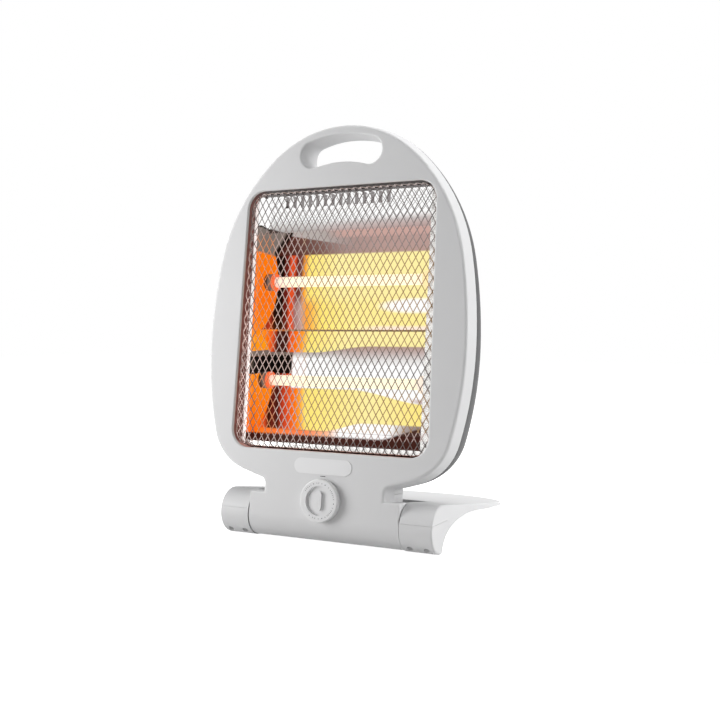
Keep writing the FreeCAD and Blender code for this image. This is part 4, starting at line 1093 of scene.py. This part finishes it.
class HEATER_OT_flanges(HeaterOperator, bpy.types.Operator):
    """Adds the bright flanges at the sides of the chamber's mouth"""
    bl_idname = "heater.flanges"
    bl_label = "Frame flanges"

    def execute(self, context):
        bright = bpy.data.materials["Bright frame"]
        for name, side in (("frame_flange_right", 1), ("frame_flange_left", -1)):
            place_piece(name, flange_mesh(side), bright, "head", Matrix())
        return {"FINISHED"}


# Grille: two families of straight strands on a flat sheet whose edges fold back into the opening. One family
# lies in front of the other, each off the sheet by a share of the wire's radius.

STRAND_STEP = 0.8
WIRE_BEVEL_STEPS = 1
WIRE_LIFT = 0.5


def core_corners():
    """Corners of the opening's core, in metres: the opening less the radius of its corners."""
    r = OPEN_CORNER_R * MM
    low = OPEN_BOTTOM_Z * MM + r
    high = OPEN_TOP_Z * MM - r
    low_half = OPEN_BOTTOM_HALF * MM - r
    high_half = OPEN_TOP_HALF * MM - r
    return [Vector((-low_half, low)), Vector((low_half, low)), Vector((high_half, high)),
            Vector((-high_half, high))]


def from_core(point, corners):
    """Nearest point of the core polygon and the distance from it, 0 inside."""
    inside = True
    best = None
    for i, a in enumerate(corners):
        b = corners[(i + 1) % len(corners)]
        run = b - a
        off = point - a
        if run.x * off.y - run.y * off.x < 0.0:
            inside = False
        share = max(0.0, min(1.0, off.dot(run) / run.length_squared))
        near = a + run * share
        gap = (point - near).length
        if best is None or gap < best[1]:
            best = (near, gap)
    return (point, 0.0) if inside else best


def folded(point, corners, grille, depth_max):
    """Place of a point of the flat sheet once the edges are folded, or None past the sheet's end."""
    reach = OPEN_CORNER_R * MM - grille.edge_gap
    flat = reach - grille.bend_r
    near, gap = from_core(point, corners)
    if gap <= flat:
        return Vector((point.x, 0.0, point.y))
    out = (point - near) / gap
    extra = gap - flat
    turn = extra / grille.bend_r
    if turn < math.pi / 2:
        side = flat + grille.bend_r * math.sin(turn)
        depth = grille.bend_r * (1.0 - math.cos(turn))
    else:
        side = reach
        depth = grille.bend_r + extra - grille.bend_r * math.pi / 2
    if depth > depth_max:
        return None
    spot = near + out * side
    return Vector((spot.x, depth, spot.y))


def strand(start, direction, length, corners, grille, depth_max):
    count = int(length / (STRAND_STEP * MM))
    flat = [start + direction * (length * i / count) for i in range(count + 1)]
    points = [folded(p, corners, grille, depth_max) for p in flat]
    points = [p for p in points if p is not None]
    kept = []
    for i, p in enumerate(points):
        ends = i in (0, len(points) - 1)
        if ends or points[i - 1].y > 0.0 or p.y > 0.0 or points[i + 1].y > 0.0:
            kept.append(p)
    return kept


def tube_mesh(name, lines, radius):
    curve = bpy.data.curves.new(name, "CURVE")
    curve.dimensions = "3D"
    curve.bevel_depth = radius
    curve.bevel_resolution = WIRE_BEVEL_STEPS
    curve.use_fill_caps = True
    for line in lines:
        spline = curve.splines.new("POLY")
        spline.points.add(len(line) - 1)
        for target, p in zip(spline.points, line):
            target.co = (*p, 1.0)
    holder = bpy.data.objects.new(name, curve)
    mesh = bpy.data.meshes.new_from_object(holder)
    bpy.data.objects.remove(holder)
    bpy.data.curves.remove(curve)
    mesh.name = name
    return mesh


class HEATER_OT_grille(HeaterOperator, bpy.types.Operator):
    """Weaves the diamond wire net with its folded edges"""
    bl_idname = "heater.grille"
    bl_label = "Wire grille"

    def execute(self, context):
        grille = context.scene.heater_grille
        corners = core_corners()
        front = FACE_Y * MM + grille.setback
        depth_max = LIP_BACK_Y * MM - front - 2 * grille.wire_r
        margin = depth_max + grille.bend_r
        low = OPEN_BOTTOM_Z * MM - margin
        high = OPEN_TOP_Z * MM + margin
        half = OPEN_BOTTOM_HALF * MM + margin
        slope = grille.cell_w / grille.cell_h
        rise = high - low
        reach = int((2 * half + rise * slope) / grille.cell_w) + 1
        lines = []
        for side in (1, -1):
            direction = Vector((side * slope, 1.0)).normalized()
            length = rise / direction.y
            for i in range(reach):
                x = side * (i * grille.cell_w - half - rise * slope)
                line = strand(Vector((x, low)), direction, length, corners, grille, depth_max)
                if len(line) > 1:
                    lift = side * grille.wire_r * WIRE_LIFT
                    lines.append([p + Vector((0.0, front + lift, 0.0)) for p in line])
        mesh = tube_mesh("grille_net", lines, grille.wire_r)
        for face in mesh.polygons:
            face.use_smooth = True
        piece = place_piece("grille_net", mesh, light_painted_wire(), "head", HEAD)
        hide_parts("grille_mesh")
        return {"FINISHED"}


# Printed marks: dots and ticks on the dial, and an index dash on the casing.

DIAL_Z = 17.0
DIAL_FRONT_Y = -26.6
DOTS_DEG = (23.5, 95.4, 163.0, 212.0, 339.0)
TICKS_DEG = (-8.0, -1.0, 10.7, 39.0, 81.0, 109.0, 150.0, 176.0, 189.0, 198.0)
TICK_ROWS_DEG = ((49.0, 73.0), (119.0, 141.0), (301.0, 328.0))
ROW_TICKS = 5
TICK_L = 1.1
TICK_W = 0.35
DASH_OVER_DIAL = 21.4
DASH_L = 5.2
DASH_H = 0.6

# Blank plate above the dial
PLATE_X = -0.6
PLATE_Z = 47.0
PLATE_HALF_L = 29.3
PLATE_HALF_H = 6.9
PLATE_T = 0.5
ROUND_STEPS = 16


def disc_outline(x, z, radius):
    turns = [2 * math.pi * i / ROUND_STEPS for i in range(ROUND_STEPS)]
    return [(x + radius * math.cos(turn), z + radius * math.sin(turn)) for turn in turns]


def tick_outline(centre, radius, angle, length, width):
    """Bar that points out from a centre, at an angle clockwise from the top."""
    out = Vector((math.sin(angle), math.cos(angle)))
    middle = Vector(centre) + out * radius
    a = out * (length / 2)
    b = Vector((out.y, -out.x)) * (width / 2)
    return [tuple(middle - a - b), tuple(middle - a + b), tuple(middle + a + b), tuple(middle + a - b)]


def stadium_outline(x, z, half_l, half_h):
    """Straight bar with round ends."""
    points = []
    for side in (1, -1):
        middle = x + side * (half_l - half_h)
        for i in range(ROUND_STEPS + 1):
            angle = -math.pi / 2 + math.pi * i / ROUND_STEPS
            points.append((middle + side * half_h * math.cos(angle), z + side * half_h * math.sin(angle)))
    return points


class HEATER_OT_dial(HeaterOperator, bpy.types.Operator):
    """Prints the marks on the dial and the index dash, and adds the blank plate above them"""
    bl_idname = "heater.dial"
    bl_label = "Dial marks and plate"

    def execute(self, context):
        dial = context.scene.heater_dial
        look = context.scene.heater_finish
        ink = moulded("Dark print", tuple(look.mark_color), PRINT_GLOSS)
        centre = (0.0, DIAL_Z * MM)
        outlines = []
        for place in DOTS_DEG:
            angle = math.radians(place)
            x = centre[0] + dial.mark_r * math.sin(angle)
            z = centre[1] + dial.mark_r * math.cos(angle)
            outlines.append(disc_outline(x, z, dial.dot_r))
        ticks = list(TICKS_DEG)
        for first, last in TICK_ROWS_DEG:
            ticks += [first + (last - first) * i / (ROW_TICKS - 1) for i in range(ROW_TICKS)]
        for place in ticks:
            outlines.append(tick_outline(centre, dial.mark_r, math.radians(place), TICK_L * MM, TICK_W * MM))
        mesh = slab_mesh("dial_marks", outlines, DIAL_FRONT_Y * MM, dial.print_t)
        place_piece("dial_marks", mesh, ink, "knob", HEAD)
        dash = tick_outline(centre, DASH_OVER_DIAL * MM, 0.0, DASH_H * MM, DASH_L * MM)
        mesh = slab_mesh("index_dash", [dash], FACE_Y * MM, dial.print_t)
        place_piece("index_dash", mesh, ink, "head", HEAD)
        outline = stadium_outline(PLATE_X * MM, PLATE_Z * MM, PLATE_HALF_L * MM, PLATE_HALF_H * MM)
        mesh = slab_mesh("blank_plate", [outline], FACE_Y * MM, PLATE_T * MM)
        plate = moulded("Plate plastic", tuple(PLATE_LIGHTER * c for c in look.casing_color), PLATE_GLOSS)
        place_piece("blank_plate", mesh, plate, "head", HEAD)
        return {"FINISHED"}


# Shoulders: the casing's flat face runs on beside the stem, over the barrel and up to the ears.

SHOULDER_IN_X = 59.0
SHOULDER_OUT_X = 76.2
SHOULDER_TOP_Z = 20.5
SHOULDER_BACK_Y = -3.0
SHOULDER_SINK = 0.05
SHOULDER_EDGE_R = 1.6
SHOULDER_END_R = 0.8
SHOULDER_ARC_STEPS = 6


def shoulder_section(inset):
    """Side view of a shoulder as (y, z) points, drawn in by the inset at its front and top."""
    front = FACE_Y + SHOULDER_SINK + inset
    top = SHOULDER_TOP_Z - inset
    r = SHOULDER_EDGE_R
    points = [(SHOULDER_BACK_Y, 0.0), (front, 0.0)]
    for i in range(SHOULDER_ARC_STEPS + 1):
        angle = math.pi / 2 * i / SHOULDER_ARC_STEPS
        points.append((front + r - r * math.cos(angle), top - r + r * math.sin(angle)))
    return points + [(SHOULDER_BACK_Y, top)]


def shoulder_mesh(side):
    rings = [(SHOULDER_IN_X, 0.0), (SHOULDER_OUT_X - SHOULDER_END_R, 0.0), (SHOULDER_OUT_X, SHOULDER_END_R)]
    vertices = []
    for x, inset in rings:
        vertices += [(side * x * MM, y * MM, z * MM) for y, z in shoulder_section(inset)]
    faces = loft_faces(0, len(vertices) // len(rings), len(rings))
    if side < 0:
        faces = [face[::-1] for face in faces]
    return closed_mesh("shoulder", vertices, faces)


class HEATER_OT_shoulders(HeaterOperator, bpy.types.Operator):
    """Adds the flat shoulders beside the stem"""
    bl_idname = "heater.shoulders"
    bl_label = "Stem shoulders"

    def execute(self, context):
        plastic = bpy.data.materials["Light grey plastic"]
        for name, side in (("shoulder_right", 1), ("shoulder_left", -1)):
            place_piece(name, shoulder_mesh(side), plastic, "head", HEAD)
        return {"FINISHED"}


# Studio stage, in metres: each light's place, its size and the setting that holds its power

FLOOR_REACH = 4.0
FLOOR_GREY = (0.65, 0.65, 0.65, 1.0)
FLOOR_LIFT = 0.95
WHITE_LIGHT = (1.0, 1.0, 1.0, 1.0)
SENSOR_MM = 36.0
NEAREST_SEEN = 0.01
LIGHT_AIM = Vector((0.0, -0.05, 0.18))
STAGE_LIGHTS = {
    "key_light": (Vector((-0.85, -0.7, 0.33)), (0.6, 0.6), "key_power"),
    "top_light": (Vector((0.1, 0.1, 1.6)), (1.4, 1.4), "top_power"),
    "side_light": (Vector((1.3, 0.25, 0.6)), (0.8, 1.0), "side_power"),
}


def stage_light(name, place, size, power):
    lamp = bpy.data.lights.new(name, "AREA")
    lamp.shape = "RECTANGLE"
    lamp.size, lamp.size_y = size
    lamp.energy = power
    holder = bpy.data.objects.new(name, lamp)
    bpy.context.scene.collection.objects.link(holder)
    holder.location = place
    holder.rotation_euler = (LIGHT_AIM - place).to_track_quat("-Z", "Y").to_euler()


def seen_directly(tree):
    """1 for rays that the camera, a mirror or glass sends out, 0 for the rest."""
    path = add(tree, "ShaderNodeLightPath")
    seen = math_node(tree, "MAXIMUM", path.outputs["Is Camera Ray"], path.outputs["Is Glossy Ray"])
    return math_node(tree, "MAXIMUM", seen, path.outputs["Is Transmission Ray"])


def make_world(strength):
    world = bpy.data.worlds.new("Studio")
    world.use_nodes = True
    tree = world.node_tree
    tree.nodes.clear()
    soft = add(tree, "ShaderNodeBackground", {"Color": WHITE_LIGHT, "Strength": strength})
    white = add(tree, "ShaderNodeBackground", {"Color": WHITE_LIGHT, "Strength": 1.0})
    mix = add(tree, "ShaderNodeMixShader")
    out = add(tree, "ShaderNodeOutputWorld")
    wire_up(tree, (seen_directly(tree), mix.inputs["Fac"]), (soft.outputs[0], mix.inputs[1]),
            (white.outputs[0], mix.inputs[2]), (mix.outputs[0], out.inputs["Surface"]))
    bpy.context.scene.world = world


def make_floor():
    mesh = bpy.data.meshes.new("floor")
    corners = [(FLOOR_REACH * x, FLOOR_REACH * y, 0.0) for x, y in ((-1, -1), (1, -1), (1, 1), (-1, 1))]
    mesh.from_pydata(corners, [], [(0, 1, 2, 3)])
    made = bpy.data.materials.new("Pale floor")
    made.use_nodes = True
    tree = made.node_tree
    tree.nodes.clear()
    paint = add(tree, "ShaderNodeBsdfDiffuse", {"Color": FLOOR_GREY})
    lift = add(tree, "ShaderNodeEmission", {"Color": WHITE_LIGHT, "Strength": FLOOR_LIFT})
    both = add(tree, "ShaderNodeAddShader")
    mix = add(tree, "ShaderNodeMixShader")
    out = add(tree, "ShaderNodeOutputMaterial")
    wire_up(tree, (paint.outputs[0], both.inputs[0]), (lift.outputs[0], both.inputs[1]),
            (seen_directly(tree), mix.inputs["Fac"]), (paint.outputs[0], mix.inputs[1]),
            (both.outputs[0], mix.inputs[2]), (mix.outputs[0], out.inputs["Surface"]))
    mesh.materials.append(made)
    floor = bpy.data.objects.new("floor", mesh)
    bpy.context.scene.collection.objects.link(floor)


class HEATER_OT_stage(HeaterOperator, bpy.types.Operator):
    """Sets the floor, the soft lights and the camera"""
    bl_idname = "heater.stage"
    bl_label = "Studio stage"

    def execute(self, context):
        stage = context.scene.heater_stage
        context.scene.view_settings.view_transform = "Standard"
        make_world(stage.world_strength)
        make_floor()
        for name, (place, size, power) in STAGE_LIGHTS.items():
            stage_light(name, place, size, getattr(stage, power))
        lens = bpy.data.cameras.new("camera")
        lens.lens = stage.lens
        lens.sensor_width = SENSOR_MM
        lens.clip_start = NEAREST_SEEN
        camera = bpy.data.objects.new("camera", lens)
        context.scene.collection.objects.link(camera)
        camera.location = HINGE + Vector(stage.camera_from_hinge)
        camera.rotation_euler = (math.pi / 2 - stage.camera_pitch, 0.0, stage.camera_yaw)
        context.scene.camera = camera
        return {"FINISHED"}


class HEATER_PT_panel(bpy.types.Panel):
    """Lists the heater's pieces and settings"""
    bl_label = "Quartz heater"
    bl_idname = "HEATER_PT_panel"
    bl_space_type = "VIEW_3D"
    bl_region_type = "UI"
    bl_category = "Heater"

    def draw(self, context):
        for operator in OPERATORS:
            self.layout.operator(operator.bl_idname)
        for name, group in SETTINGS.items():
            box = self.layout.box()
            for prop in group.__annotations__:
                box.prop(getattr(context.scene, name), prop)


SETTINGS = {
    "heater_finish": HeaterFinish,
    "heater_grille": HeaterGrille,
    "heater_dial": HeaterDial,
    "heater_stage": HeaterStage,
}
OPERATORS = (
    HEATER_OT_shells, HEATER_OT_chamber, HEATER_OT_hardware, HEATER_OT_flanges, HEATER_OT_grille,
    HEATER_OT_dial, HEATER_OT_shoulders, HEATER_OT_stage,
)


def register():
    for name, group in SETTINGS.items():
        bpy.utils.register_class(group)
        setattr(bpy.types.Scene, name, bpy.props.PointerProperty(type=group))
    for operator in OPERATORS:
        bpy.utils.register_class(operator)
    bpy.utils.register_class(HEATER_PT_panel)


def unregister():
    bpy.utils.unregister_class(HEATER_PT_panel)
    for operator in reversed(OPERATORS):
        bpy.utils.unregister_class(operator)
    for name, group in reversed(SETTINGS.items()):
        delattr(bpy.types.Scene, name)
        bpy.utils.unregister_class(group)


def main():
    register()
    make_groups()
    bpy.ops.heater.shells()
    bpy.ops.heater.chamber()
    bpy.ops.heater.hardware()
    bpy.ops.heater.flanges()
    bpy.ops.heater.grille()
    bpy.ops.heater.dial()
    bpy.ops.heater.shoulders()
    bpy.ops.heater.stage()


if __name__ == "__main__":
    main()
